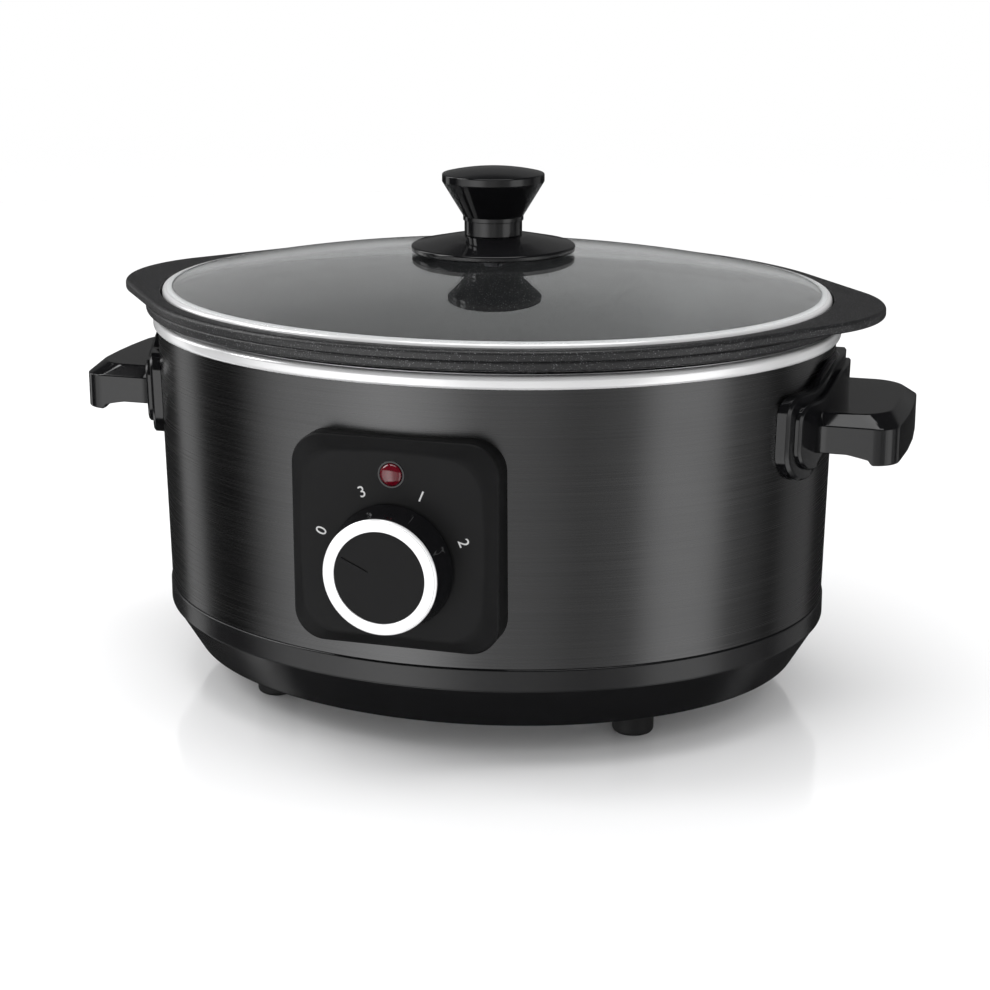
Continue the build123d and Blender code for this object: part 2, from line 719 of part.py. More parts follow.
lead_start = block_place[1] - block_size[1] / 2
lead_z = z_floor + block_size[2] / 2
lead_front = bezel_face_reach - lead_setback
lead_top = dial_z - switch_size / 2
with BuildPart() as switch_leads:
    for lead_x, block_x in ((-lead_spread / 2, block_place[0] - lead_spread / 2),
                            (lead_spread / 2, block_place[0] + lead_spread / 2)):
        with BuildLine() as route:
            FilletPolyline(
                (block_x, oval_y + lead_start, lead_z),
                (block_x, oval_y + lead_start - 2 * lead_bend, lead_z),
                (lead_x, oval_y - lead_turn, lead_z),
                (lead_x, oval_y - lead_front, z_lip + lead_bend),
                (lead_x, oval_y - lead_front, lead_top),
                radius=lead_bend / 1.5,
            )
        with BuildSketch(Plane(origin=route.line @ 0, z_dir=route.line % 0)):
            Circle(lead_radius)
        sweep(path=route.line)
save(switch_leads, "switch_leads")

# ---------------------------------------------------------------- handles
handle_bolts = [end_plane(1, 0, y, handle_screw_z) for y in (-handle_screw_spread, handle_screw_spread)]
with BuildPart() as handle_plate_right:
    extrude(plate_outline(0), amount=body_length / 2)
    shell_layer(plate_thickness, Mode.INTERSECT)
    shell_layer(0, Mode.SUBTRACT)
    with Locations(*handle_bolts):
        Cylinder(screw_radius + screw_clearance, body_length, align=STAND, mode=Mode.SUBTRACT)

with BuildPart() as grip_flange:
    extrude(plate_outline(plate_border), amount=body_length / 2)
    shell_layer(plate_thickness + plate_flange, Mode.INTERSECT)

with BuildPart() as handle_right:
    loft(sections=[
        grip_outline(z_grip_lip, handle_half_width, handle_corner, handle_reach),
        grip_outline(z_slope, handle_half_width, handle_corner, handle_reach),
    ], ruled=True)
    loft(sections=[
        grip_outline(z_slope, handle_half_width, handle_corner, handle_reach),
        grip_outline(handle_top, handle_half_width - handle_slope, handle_top_corner,
                     handle_reach - handle_slope),
    ], ruled=True)
    with BuildSketch(Plane.XZ.offset(-oval_y)):
        with BuildLine():
            Polyline(
                (0, z_grip_side),
                (handle_reach - handle_lip_width - handle_lip, z_grip_side),
                (handle_reach - handle_lip_width, z_grip_lip),
                (0, z_grip_lip),
                close=True,
            )
        make_face()
    extrude(amount=2 * handle_half_width, both=True, mode=Mode.SUBTRACT)
    with BuildSketch(Plane((0, oval_y, z_grip_lip))) as hollow:
        with Locations(((handle_root_x + handle_reach + handle_bulge - handle_wall) / 2, 0)):
            Rectangle(handle_reach + handle_bulge - handle_wall - handle_root_x,
                      2 * (handle_half_width - handle_wall))
        fillet(hollow.vertices().group_by(Axis.X)[-1], handle_corner)
    extrude(amount=handle_top - handle_ceiling - z_grip_lip, mode=Mode.SUBTRACT)
    add(grip_flange.part)
    shell_layer(plate_thickness, Mode.SUBTRACT)
    with Locations(*handle_bolts):
        Cylinder(screw_radius, shell_x_at(handle_screw_spread, handle_screw_z) + handle_screw_length,
                 align=STAND, mode=Mode.SUBTRACT)

head_x = shell_x_at(handle_screw_spread + screw_head_radius, handle_screw_z) - sheet
with BuildPart() as screws_right:
    screws([end_plane(1, head_x, y, handle_screw_z) for y in (-handle_screw_spread, handle_screw_spread)],
           screw_radius, screw_head_radius, screw_head_height, handle_screw_length)

with BuildPart() as handle_plate_left:
    mirror(handle_plate_right.part, about=Plane.YZ)
with BuildPart() as handle_left:
    mirror(handle_right.part, about=Plane.YZ)
with BuildPart() as handle_screws:
    add(screws_right.part)
    mirror(screws_right.part, about=Plane.YZ)
save(handle_plate_right, "handle_plate_right")
save(handle_plate_left, "handle_plate_left")
save(handle_right, "handle_right")
save(handle_left, "handle_left")
save(handle_screws, "handle_screws")

# ---------------------------------------------------------------- searing pot
with BuildPart() as pot_body:
    oval_body((z_pot, pot_foot), (z_bead, pot_rim))
    fillet(pot_body.edges().group_by(Axis.Z)[0], pot_corner)

with BuildPart() as pot_cavity:
    oval_body((z_pot + pot_floor, grow(pot_foot, -pot_wall)), (z_bead, pot_inner_rim))
    fillet(pot_cavity.edges().group_by(Axis.Z)[0], pot_corner - pot_wall)
    oval_body((z_bead, pot_inner_rim), (z_rim, pot_inner_rim))
    oval_body((z_seat, seat_half), (z_rim, seat_half))

with BuildPart() as rim_bead:
    oval_body((z_bead, rim_half), (z_plate, rim_half))
    fillet(rim_bead.edges(), bead_height / 2 - 0.1)

with BuildPart() as rim_flange:
    with BuildSketch(Plane((0, oval_y, z_plate - rim_groove))) as rim_plan:
        Ellipse(*rim_half)
        with Locations((rim_half[0] + ear_reach - ear_radius, 0), (ear_radius - rim_half[0] - ear_reach, 0)):
            Circle(ear_radius)
        make_hull()
    extrude(amount=rim_plate + rim_groove)
    fillet(rim_flange.edges(), (rim_plate + rim_groove) / 2 - 0.15)

with BuildPart() as pot:
    add(pot_body.part)
    add(rim_bead.part)
    add(rim_flange.part)
    add(pot_cavity.part, mode=Mode.SUBTRACT)
save(pot, "pot")

# ---------------------------------------------------------------- lid
dome_radius = (glass_half[0] ** 2 + glass_rise ** 2) / (2 * glass_rise)
with BuildPart() as round_dome:
    with BuildSketch(Plane.XZ):
        with BuildLine():
            Polyline((0, glass_rise), (0, glass_rise + glass_thickness))
            RadiusArc((0, glass_rise + glass_thickness), (glass_half[0], glass_thickness), dome_radius)
            Polyline((glass_half[0], glass_thickness), (glass_half[0], 0))
            RadiusArc((glass_half[0], 0), (0, glass_rise), -dome_radius)
        make_face()
    revolve(axis=Axis.Z)
    scale(by=(1, glass_half[1] / glass_half[0], 1))

with BuildPart() as lid_glass:
    add(Pos(0, oval_y, z_glass) * round_dome.part)
    with Locations((*axis_place, z_glass)):
        Cylinder(lid_hole_radius, 2 * glass_rise, align=STAND, mode=Mode.SUBTRACT)
save(lid_glass, "lid_glass")

with BuildPart() as lid_rim:
    oval_body((z_lid, lid_half), (z_lid + lid_rim_height, lid_half))
    fillet(lid_rim.edges(), lid_rim_height / 2 - 0.2)
    oval_body((z_lid, lid_inner), (z_lid + lid_rim_height, lid_inner), mode=Mode.SUBTRACT)
    add(lid_glass.part, mode=Mode.SUBTRACT)
save(lid_rim, "lid_rim")

z_knob = z_glass_top
z_neck = z_knob + knob_flange_edge + knob_flange_rise
z_grip = z_neck + knob_neck_height
z_band = z_grip + knob_grip_height
z_crown = z_band + knob_band_height
crown_radius = (knob_grip_radius ** 2 + knob_crown ** 2) / (2 * knob_crown)
knob_axis = Axis((*axis_place, 0), (0, 0, 1))

with BuildPart() as knob_flange:
    with BuildSketch(Plane.XZ.offset(-oval_y)) as flange_profile:
        with BuildLine():
            z_edge = z_knob + knob_flange_edge
            Polyline((0, z_knob), (knob_flange_radius, z_knob), (knob_flange_radius, z_edge))
            flange_bow = (knob_flange_radius * 0.62, z_edge + 0.62 * knob_flange_rise)
            ThreePointArc((knob_flange_radius, z_edge), flange_bow, (knob_neck_radius, z_neck))
            Polyline((knob_neck_radius, z_neck), (0, z_neck), (0, z_knob))
        make_face()
        fillet(flange_profile.vertices().group_by(Axis.X)[-1], knob_flange_edge / 3)
    revolve(axis=knob_axis)
    with Locations((*axis_place, z_knob)):
        Cylinder(lid_screw_radius, z_neck - z_knob, align=STAND, mode=Mode.SUBTRACT)
save(knob_flange, "knob_flange")

with BuildPart() as lid_knob:
    with BuildSketch(Plane.XZ.offset(-oval_y)):
        with BuildLine():
            Polyline((0, z_neck), (knob_neck_radius, z_neck), (knob_neck_radius, z_grip - knob_collar_height),
                     (knob_collar_radius, z_grip - knob_collar_height), (knob_collar_radius, z_grip),
                     (knob_grip_radius, z_band), (knob_grip_radius, z_crown))
            RadiusArc((knob_grip_radius, z_crown), (0, z_crown + knob_crown), -crown_radius)
            Line((0, z_crown + knob_crown), (0, z_neck))
        make_face()
    revolve(axis=knob_axis)
    with Locations((*axis_place, z_neck)):
        Cylinder(lid_screw_radius, knob_screw_depth, align=STAND, mode=Mode.SUBTRACT)
save(lid_knob, "lid_knob")

with BuildPart() as lid_gasket:
    with Locations((*axis_place, z_glass + glass_rise - gasket_drop)):
        Cylinder(gasket_radius, gasket_height, align=HANG)
        Cylinder(lid_screw_radius, gasket_height, align=HANG, mode=Mode.SUBTRACT)
save(lid_gasket, "lid_gasket")

with BuildPart() as lid_washer:
    with Locations((*axis_place, z_glass + glass_rise - gasket_drop - gasket_height)):
        Cylinder(gasket_radius - 1, 2 * sheet, align=HANG)
        Cylinder(lid_screw_radius, 2 * sheet, align=HANG, mode=Mode.SUBTRACT)
save(lid_washer, "lid_washer")

z_lid_screw = z_glass + glass_rise - gasket_drop - gasket_height - 2 * sheet
with BuildPart() as lid_screw:
    screws([Plane((*axis_place, z_lid_screw))], lid_screw_radius, 2 * lid_screw_radius, lid_screw_radius,
           z_neck + knob_screw_depth - 1 - z_lid_screw)
save(lid_screw, "lid_screw")
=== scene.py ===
"""Looks of an oval slow cooker with a lift-out searing pot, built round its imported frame.

Every new piece is a surface on a grid of two parameters. Lengths in the dataclasses are millimetres, and
MM turns them into the frame's metres. +Z is up and the controls face -Y.
"""
import json
import logging
from collections.abc import Sequence
from dataclasses import dataclass, field
from enum import Enum
from math import cos, pi, radians, sin

import bpy
import numpy as np
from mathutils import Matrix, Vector


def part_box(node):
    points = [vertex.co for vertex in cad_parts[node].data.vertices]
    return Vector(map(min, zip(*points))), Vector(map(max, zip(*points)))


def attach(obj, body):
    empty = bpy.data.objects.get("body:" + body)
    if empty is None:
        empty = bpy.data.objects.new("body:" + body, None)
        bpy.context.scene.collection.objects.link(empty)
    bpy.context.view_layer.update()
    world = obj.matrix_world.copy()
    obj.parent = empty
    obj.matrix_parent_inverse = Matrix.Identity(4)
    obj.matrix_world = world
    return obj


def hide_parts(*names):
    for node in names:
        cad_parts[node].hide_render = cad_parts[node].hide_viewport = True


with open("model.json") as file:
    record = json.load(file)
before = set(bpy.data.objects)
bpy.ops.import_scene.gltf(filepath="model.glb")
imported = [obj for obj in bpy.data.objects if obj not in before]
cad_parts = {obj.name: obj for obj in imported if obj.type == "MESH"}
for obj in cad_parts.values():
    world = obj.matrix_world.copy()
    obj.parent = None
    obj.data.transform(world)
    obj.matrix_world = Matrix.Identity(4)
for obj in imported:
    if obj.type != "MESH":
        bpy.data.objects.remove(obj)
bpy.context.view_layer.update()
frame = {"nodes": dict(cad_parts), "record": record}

MM = 0.001
LOG = logging.getLogger("slow_cooker")
Rows = np.ndarray          # points of a grid, (rows, columns, 3)
Path = np.ndarray          # points of a path or a loop, (points, dimensions)
Socket = bpy.types.NodeSocket


# ---------------------------------------------------------------- places read from the frame
@dataclass(frozen=True)
class Span:
    """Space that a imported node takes, in millimetres."""

    low: Vector
    high: Vector

    @classmethod
    def of(cls, node: str) -> "Span":
        """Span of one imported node, by its name."""
        low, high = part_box(node)
        return cls(low / MM, high / MM)

    @property
    def half(self) -> np.ndarray:
        """Half sizes along X and Y."""
        return np.array(((self.high.x - self.low.x) / 2, (self.high.y - self.low.y) / 2))

    @property
    def centre(self) -> Vector:
        """Middle of the span."""
        return (self.low + self.high) / 2


SHELL = Span.of("outer_shell")
OVAL_Y = SHELL.centre.y


# ---------------------------------------------------------------- paths
def rounded(corners: Sequence, radii: float | Sequence[float], steps: int = 6) -> Path:
    """Open path whose inner corners are true arcs.

    Each corner C becomes the rational quadratic curve ((1-u)^2 A + 2u(1-u) w C + u^2 B) / (sum of the same
    weights), with A and B the tangent points and w the sine of half the corner's angle, which is a circle's
    arc. One more point stands on the straight on each side of an arc, so that flats shade flat.

    Args:
        corners: points of the path, in two or three dimensions.
        radii: one radius, or one for each inner corner.
        steps: spans in each arc.

    Returns:
        The path's points.
    """
    points = np.asarray(corners, float)
    middle = points[1:-1]
    back, ahead = points[:-2] - middle, points[2:] - middle
    back_length = np.linalg.norm(back, axis=1, keepdims=True)
    ahead_length = np.linalg.norm(ahead, axis=1, keepdims=True)
    back, ahead = back / back_length, ahead / ahead_length
    half = np.arccos(np.clip((back * ahead).sum(1, keepdims=True), -1, 1)) / 2
    wanted = np.broadcast_to(np.asarray(radii, float), len(middle))[:, None] / np.tan(half)
    reach = np.minimum(wanted, 0.4 * np.minimum(back_length, ahead_length))
    u = np.linspace(0, 1, steps + 1)[None, :, None]
    first, last = (middle + back * reach)[:, None], (middle + ahead * reach)[:, None]
    pull = 2 * u * (1 - u) * np.sin(half)[:, None]
    arcs = ((1 - u) ** 2 * first + pull * middle[:, None] + u ** 2 * last) / ((1 - u) ** 2 + pull + u ** 2)
    before = (middle + 1.2 * back * reach)[:, None]
    after = (middle + 1.2 * ahead * reach)[:, None]
    inner = np.concatenate((before, arcs, after), axis=1).reshape(-1, points.shape[1])
    return np.concatenate((points[:1], inner, points[-1:]))


def rounded_loop(corners: Sequence, radii: float | Sequence[float], steps: int = 6) -> Path:
    """Closed path with every corner an arc.

    Args:
        corners: points of the loop, the last joined to the first.
        radii: one radius, or one for each corner.
        steps: spans in each arc.

    Returns:
        The loop's points, the first not repeated.
    """
    points = np.asarray(corners, float)
    return rounded(np.concatenate((points[-1:], points, points[:1])), radii, steps)[1:-1]


def spread(path: Path, parts: int) -> Path:
    """Path with each of its straights cut into equal parts, which keeps every point it had.

    Args:
        path: points of the path.
        parts: equal parts in each straight.

    Returns:
        The finer path.
    """
    share = np.linspace(0, 1, parts, endpoint=False)[None, :, None]
    cut = path[:-1, None] * (1 - share) + path[1:, None] * share
    return np.concatenate((cut.reshape(-1, path.shape[1]), path[-1:]))


def ramp(value: np.ndarray, start: float, end: float) -> np.ndarray:
    """Smooth step from 0 at start to 1 at end, by the cubic 3t^2 - 2t^3.

    Args:
        value: what the step is read at.
        start: where the step begins.
        end: where the step ends.

    Returns:
        One share for each value.
    """
    share = np.clip((value - start) / (end - start), 0, 1)
    return share * share * (3 - 2 * share)


# ---------------------------------------------------------------- grids
class Facing(Enum):
    """Ways that a turned piece's axis may point: two directions across it, then the axis."""

    UP = ((1, 0, 0), (0, 1, 0), (0, 0, 1))
    FRONT = ((1, 0, 0), (0, 0, 1), (0, -1, 0))
    REAR = ((-1, 0, 0), (0, 0, 1), (0, 1, 0))


def oval_rows(stations: Path, columns: int = 288) -> Rows:
    """Rows round the cooker's axis: a station (a, b, z) is the oval (a cos t, b sin t) at height z.

    Args:
        stations: points (a, b, z), outermost side rising.
        columns: points round each oval.

    Returns:
        The grid's points.
    """
    turn = np.linspace(0, 2 * pi, columns, endpoint=False)
    a, b, z = (stations[:, None, i] for i in range(3))
    return np.stack((a * np.cos(turn), OVAL_Y + b * np.sin(turn), z + 0 * turn), axis=-1)


def turned_rows(profile: Path, origin: Sequence[float], facing: Facing = Facing.UP,
                columns: int = 96) -> Rows:
    """Rows round an axis: a point (r, h) of the profile is a circle of radius r, a height h along it.

    Args:
        profile: points (radius, height), outermost side rising.
        origin: where the height is 0.
        facing: which way the axis points.
        columns: points round each circle.

    Returns:
        The grid's points.
    """
    turn = np.linspace(0, 2 * pi, columns, endpoint=False)[None, :, None]
    across, upright, axis = (np.array(v, float) for v in facing.value)
    radius, height = profile[:, 0, None, None], profile[:, 1, None, None]
    return np.array(origin) + radius * (np.cos(turn) * across + np.sin(turn) * upright) + height * axis


def grown(half: Sequence[float], amount: float) -> tuple[float, float]:
    """Half sizes of an oval moved outwards by an even amount."""
    return half[0] + amount, half[1] + amount


class Solid:
    """Closed surfaces gathered into one mesh."""

    def __init__(self) -> None:
        """Start with nothing in it."""
        self.points: list[np.ndarray] = []
        self.faces: list[list[int]] = []
        self.count = 0

    def add(self, rows: Rows, closed: bool = False, low: Sequence[float] | None = None,
            high: Sequence[float] | None = None, flipped: bool = False) -> "Solid":
        """Take in one grid whose columns run round, anticlockwise seen from outside its last row.

        Args:
            rows: the grid's points, its outer side rising from row to row.
            closed: whether the last row joins the first.
            low: point that closes the first row.
            high: point that closes the last row.
            flipped: whether the grid was mirrored, so that its faces turn the other way.

        Returns:
            This solid.
        """
        count_rows, columns = rows.shape[:2]
        index = self.count + np.arange(count_rows * columns).reshape(count_rows, columns)
        upper = np.roll(index, -1, axis=0) if closed else index[1:]
        lower = index if closed else index[:-1]
        quads = np.stack((lower, np.roll(lower, -1, 1), np.roll(upper, -1, 1), upper), axis=-1)
        faces = [quads.reshape(-1, 4)]
        points = [rows.reshape(-1, 3)]
        end = self.count + index.size
        for pole, ring in ((low, index[0][::-1]), (high, index[-1])):
            if pole is not None:
                faces.append(np.stack((ring, np.roll(ring, -1), np.full(columns, end)), axis=-1))
                points.append(np.array(pole, float)[None])
                end += 1
        self.points += points
        self.faces += [face for block in faces for face in (block[:, ::-1] if flipped else block).tolist()]
        self.count = end
        return self

    def build(self, name: str) -> bpy.types.Object:
        """Put the surfaces into a smooth mesh.

        Args:
            name: the new object's name.

        Returns:
            The object, at the origin.
        """
        mesh = bpy.data.meshes.new(name)
        mesh.from_pydata((np.concatenate(self.points) * MM).tolist(), [], self.faces)
        mesh.polygons.foreach_set("use_smooth", np.ones(len(mesh.polygons), bool))
        mesh.update()
        piece = bpy.data.objects.new(name, mesh)
        bpy.context.scene.collection.objects.link(piece)
        return piece


def shell_half(height: np.ndarray | float, proud: float = 0.0, flare: float = 2.5) -> tuple:
    """Half sizes of the steel shell at a height, moved outwards.

    Args:
        height: height above the worktop.
        proud: distance outside the shell.
        flare: how much wider the shell is at its top than at its foot, per side.

    Returns:
        The half sizes along X and Y.
    """
    drop = flare * (SHELL.high.z - height) / (SHELL.high.z - SHELL.low.z)
    return SHELL.half[0] - drop + proud, SHELL.half[1] - drop + proud


# ---------------------------------------------------------------- finishes
class Paint:
    """A material being put together round one Principled shader."""

    def __init__(self, name: str, **sockets: object) -> None:
        """Start a material.

        Args:
            name: the material's name.
            sockets: constant values for the shader, with _ for a space in a socket's name.
        """
        self.material = bpy.data.materials.new(name)
        self.material.use_nodes = True
        self.tree = self.material.node_tree
        self.shader = self.tree.nodes["Principled BSDF"]
        for socket, value in sockets.items():
            self.shader.inputs[socket.replace("_", " ")].default_value = value
        self.place = self.tree.nodes.new("ShaderNodeTexCoord").outputs["Object"]

    def node(self, kind: str, links: dict, **settings: object) -> bpy.types.Node:
        """Add a node.

        Args:
            kind: the node's type.
            links: value or source socket for each input, by name or number.
            settings: the node's own settings.

        Returns:
            The node.
        """
        node = self.tree.nodes.new(kind)
        for setting, value in settings.items():
            setattr(node, setting, value)
        for key, value in links.items():
            if isinstance(value, Socket):
                self.tree.links.new(value, node.inputs[key])
            else:
                node.inputs[key].default_value = value
        return node

    def noise(self, scale: float, stretch: Sequence[float] = (1, 1, 1), detail: float = 2.0) -> Socket:
        """Noise of a size in space: scale is in features to the metre, stretch multiplies it by axis.

        Args:
            scale: features to the metre.
            stretch: multiplier for each axis.
            detail: octaves of finer noise.

        Returns:
            The noise, about 0.3 to 0.7.
        """
        spaced = self.node("ShaderNodeMapping", {"Vector": self.place, "Scale": stretch})
        return self.node("ShaderNodeTexNoise", {"Vector": spaced.outputs[0], "Scale": scale,
                                                "Detail": detail}).outputs["Fac"]

    def level(self, source: Socket, low: float, high: float, start: float = 0.3, end: float = 0.7) -> Socket:
        """Source between start and end, read out between low and high.

        Args:
            source: value to read.
            low: reading at start.
            high: reading at end.
            start: value that reads low.
            end: value that reads high.

        Returns:
            The reading.
        """
        return self.node("ShaderNodeMapRange", {"Value": source, "From Min": start, "From Max": end,
                                                "To Min": low, "To Max": high}).outputs["Result"]

    def blend(self, share: Socket, first: Sequence[float], second: Sequence[float]) -> Socket:
        """Colour between two, by a share.

        Args:
            share: how much of the second colour.
            first: red, green and blue at 0.
            second: red, green and blue at 1.

        Returns:
            The colour.
        """
        mix = self.node("ShaderNodeMix", {}, data_type="RGBA")
        self.tree.links.new(share, mix.inputs["Factor"])
        mix.inputs[6].default_value = (*first, 1)
        mix.inputs[7].default_value = (*second, 1)
        return mix.outputs[2]

    def relief(self, height: Socket, depth: float, under: Socket | None = None) -> Socket:
        """Bump of a depth in millimetres, on top of another if given.

        Args:
            height: what the relief follows.
            depth: its depth in millimetres.
            under: normal that it lies on.

        Returns:
            The new normal.
        """
        links = {"Height": height, "Distance": depth * MM, "Strength": 1.0}
        if under is not None:
            links["Normal"] = under
        return self.node("ShaderNodeBump", links).outputs["Normal"]

    def wire(self, **sources: Socket) -> "Paint":
        """Link sources to the shader's inputs, with _ for a space in a socket's name.

        Args:
            sources: source for each socket.

        Returns:
            This paint.
        """
        for socket, source in sources.items():
            self.tree.links.new(source, self.shader.inputs[socket.replace("_", " ")])
        return self


@dataclass(frozen=True)
class Moulded:
    """Moulded plastic or rubber: fine skin texture, a slow waviness and slightly uneven gloss."""

    name: str
    colour: tuple[float, float, float]
    roughness: float
    uneven: float = 0.04       # how far the roughness wanders
    skin: float = 0.004        # depth of the fine texture
    skin_scale: float = 2600.0
    wave: float = 0.02         # depth of the slow waviness
    coat: float = 0.0
    lift: float = 1.35         # how much lighter the palest patches are
    specular: float = 0.5

    def make(self) -> bpy.types.Material:
        """Build the material.

        Returns:
            The material.
        """
        paint = Paint(self.name, Coat_Weight=self.coat, Coat_Roughness=0.03, IOR=1.5,
                      Specular_IOR_Level=self.specular)
        slow = paint.noise(60, detail=3)
        fine = paint.noise(self.skin_scale, detail=1)
        pale = tuple(channel * self.lift for channel in self.colour)
        normal = paint.relief(fine, self.skin, paint.relief(paint.noise(45, detail=0), self.wave))
        paint.wire(Base_Color=paint.blend(slow, self.colour, pale), Normal=normal,
                   Roughness=paint.level(slow, self.roughness - self.uneven, self.roughness + self.uneven))
        return paint.material


@dataclass(frozen=True)
class Metal:
    """Sheet or turned metal, with a grain drawn out along one direction."""

    name: str
    colour: tuple[float, float, float]
    roughness: float
    grain: tuple[float, float, float] = (1.0, 1.0, 1.0)      # noise features to the metre, by axis
    grain_depth: float = 0.002
    uneven: float = 0.05
    shade: float = 0.85        # how dark the darkest lines of the grain are
    metallic: float = 1.0
    drawn: float = 0.0         # how far the reflections are drawn out across the grain

    def make(self) -> bpy.types.Material:
        """Build the material.

        Returns:
            The material.
        """
        paint = Paint(self.name, Metallic=self.metallic, Anisotropic=self.drawn, Anisotropic_Rotation=0.25)
        grain = paint.noise(1.0, self.grain, detail=4)
        cloud = paint.noise(25, detail=2)
        dark = tuple(channel * self.shade for channel in self.colour)
        both = paint.node("ShaderNodeMath", {0: grain, 1: paint.level(cloud, -0.05, 0.05)}, operation="ADD")
        paint.wire(Base_Color=paint.blend(paint.level(both.outputs[0], 0, 1), dark, self.colour),
                   Roughness=paint.level(grain, self.roughness - self.uneven, self.roughness + self.uneven),
                   Normal=paint.relief(grain, self.grain_depth))
        if self.drawn:
            paint.wire(Tangent=paint.node("ShaderNodeTangent", {}, direction_type="RADIAL",
                                          axis="Z").outputs[0])
        return paint.material


@dataclass(frozen=True)
class Speckled:
    """Sprayed non-stick coating: pebbled skin with fine pale flecks."""

    name: str
    colour: tuple[float, float, float]
    fleck: tuple[float, float, float]
    roughness: float
    pebble: float = 1500.0     # pebbles to the metre
    pebble_depth: float = 0.045
    fleck_scale: float = 2200.0
    fleck_level: float = 0.70  # noise level above which a fleck shows

    def make(self) -> bpy.types.Material:
        """Build the material.

        Returns:
            The material.
        """
        paint = Paint(self.name, IOR=1.5, Specular_IOR_Level=0.6)
        flecks = paint.level(paint.noise(self.fleck_scale, detail=0), 0, 1, self.fleck_level,
                             self.fleck_level + 0.06)
        pebbles = paint.noise(self.pebble, detail=2)
        paint.wire(Base_Color=paint.blend(flecks, self.colour, self.fleck),
                   Roughness=paint.level(pebbles, self.roughness - 0.08, self.roughness + 0.08),
                   Normal=paint.relief(pebbles, self.pebble_depth))
        return paint.material


@dataclass(frozen=True)
class Fibre:
    """Matted fibre blanket: long soft strands in a pale mat."""

    name: str
    colour: tuple[float, float, float]
    shadow: tuple[float, float, float]

    def make(self) -> bpy.types.Material:
        """Build the material.

        Returns:
            The material.
        """
        paint = Paint(self.name, Roughness=0.95, Sheen_Weight=0.3)
        strands = paint.noise(1.0, (260, 260, 1400), detail=5)
        paint.wire(Base_Color=paint.blend(paint.level(strands, 0, 1), self.shadow, self.colour),
                   Normal=paint.relief(strands, 0.6))
        return paint.material


@dataclass(frozen=True)
class Clear:
    """Clear or tinted glass that lets lamps through."""

    name: str
    colour: tuple[float, float, float]
    roughness: float = 0.0
    passing: tuple[float, float, float] = (0.9, 0.92, 0.92)      # light let through to what is behind

    def make(self) -> bpy.types.Material:
        """Build the material.

        Returns:
            The material.
        """
        paint = Paint(self.name, Base_Color=(*self.colour, 1), IOR=1.5, Transmission_Weight=1.0)
        smear = paint.noise(30, detail=3)
        paint.wire(Roughness=paint.level(smear, self.roughness, self.roughness + 0.006),
                   Normal=paint.relief(paint.noise(22, detail=0), 0.01))
        through = paint.node("ShaderNodeBsdfTransparent", {"Color": (*self.passing, 1)}).outputs[0]
        lamp = paint.node("ShaderNodeLightPath", {}).outputs["Is Shadow Ray"]
        both = paint.node("ShaderNodeMixShader", {0: lamp, 1: paint.shader.outputs[0], 2: through})
        paint.tree.links.new(both.outputs[0], paint.tree.nodes["Material Output"].inputs["Surface"])
        return paint.material


FINISHES = {
    "base_plastic": Moulded("base_semi_gloss", (0.0060, 0.0060, 0.0065), 0.20, uneven=0.03, skin=0.002),
    "gloss_black": Moulded("gloss_black_moulding", (0.0045, 0.0045, 0.0050), 0.07, uneven=0.02, skin=0.0006),
    "control_plastic": Moulded("satin_black_moulding", (0.0075, 0.0075, 0.0078), 0.42, skin=0.010,
                               skin_scale=4200, specular=0.12),
    "dark_brushed_steel": Metal("dark_brushed_steel", (0.106, 0.106, 0.107), 0.25, grain=(9, 9, 2600),
                                grain_depth=0.0012, uneven=0.05, shade=0.80, drawn=0.6),
    # Painted reflection: the pale base colour is only partly metallic, so most of it is lit as matt white and
    # stands in for the bright surroundings that polished steel would mirror.
    "polished_steel": Metal("polished_steel", (0.90, 0.90, 0.905), 0.16, grain=(40, 40, 900),
                            grain_depth=0.0003, uneven=0.03, shade=0.97, metallic=0.35),
    "plain_steel": Metal("plain_sheet_steel", (0.50, 0.50, 0.51), 0.32, grain=(30, 30, 500), uneven=0.08),
    "fastener_steel": Metal("zinc_plated_steel", (0.46, 0.46, 0.48), 0.30, grain=(900, 900, 900), shade=0.75),
    "nonstick_coating": Speckled("speckled_non_stick", (0.010, 0.010, 0.011), (0.16, 0.16, 0.165), 0.42),
    "clear_glass": Clear("clear_lid_glass", (0.97, 0.985, 0.985)),
    "foot_rubber": Moulded("black_rubber", (0.004, 0.004, 0.0042), 0.6, skin=0.02, skin_scale=1800,
                           specular=0.25),
    "pale_plastic": Moulded("heat_proof_moulding", (0.58, 0.56, 0.50), 0.45, skin=0.01, lift=1.1),
    "heater_mica": Metal("mica_heater", (0.42, 0.35, 0.24), 0.55, grain=(350, 350, 900), shade=0.6,
                         metallic=0.15),
    "glass_fibre": Fibre("glass_fibre_mat", (0.84, 0.82, 0.74), (0.52, 0.50, 0.43)),
    "red_lens": Moulded("red_lamp_lens", (0.070, 0.0012, 0.0050), 0.10, uneven=0.02, skin=0.001, coat=1.0,
                        lift=1.8),
    "lamp_glass": Clear("neon_lamp_glass", (0.98, 0.80, 0.68)),
    "lead_insulation": Moulded("silicone_lead", (0.72, 0.70, 0.66), 0.5, lift=1.05),
}
SLOTS = {row["node"]: row["material_slot"] for row in frame["record"]["subparts"]}
MATERIALS: dict[str, bpy.types.Material] = {}


def finish(slot: str) -> bpy.types.Material:
    """Material of one slot, made the first time that it is asked for.

    Args:
        slot: name of the material slot.

    Returns:
        The material.
    """
    if slot not in MATERIALS:
        MATERIALS[slot] = FINISHES[slot].make()
    return MATERIALS[slot]


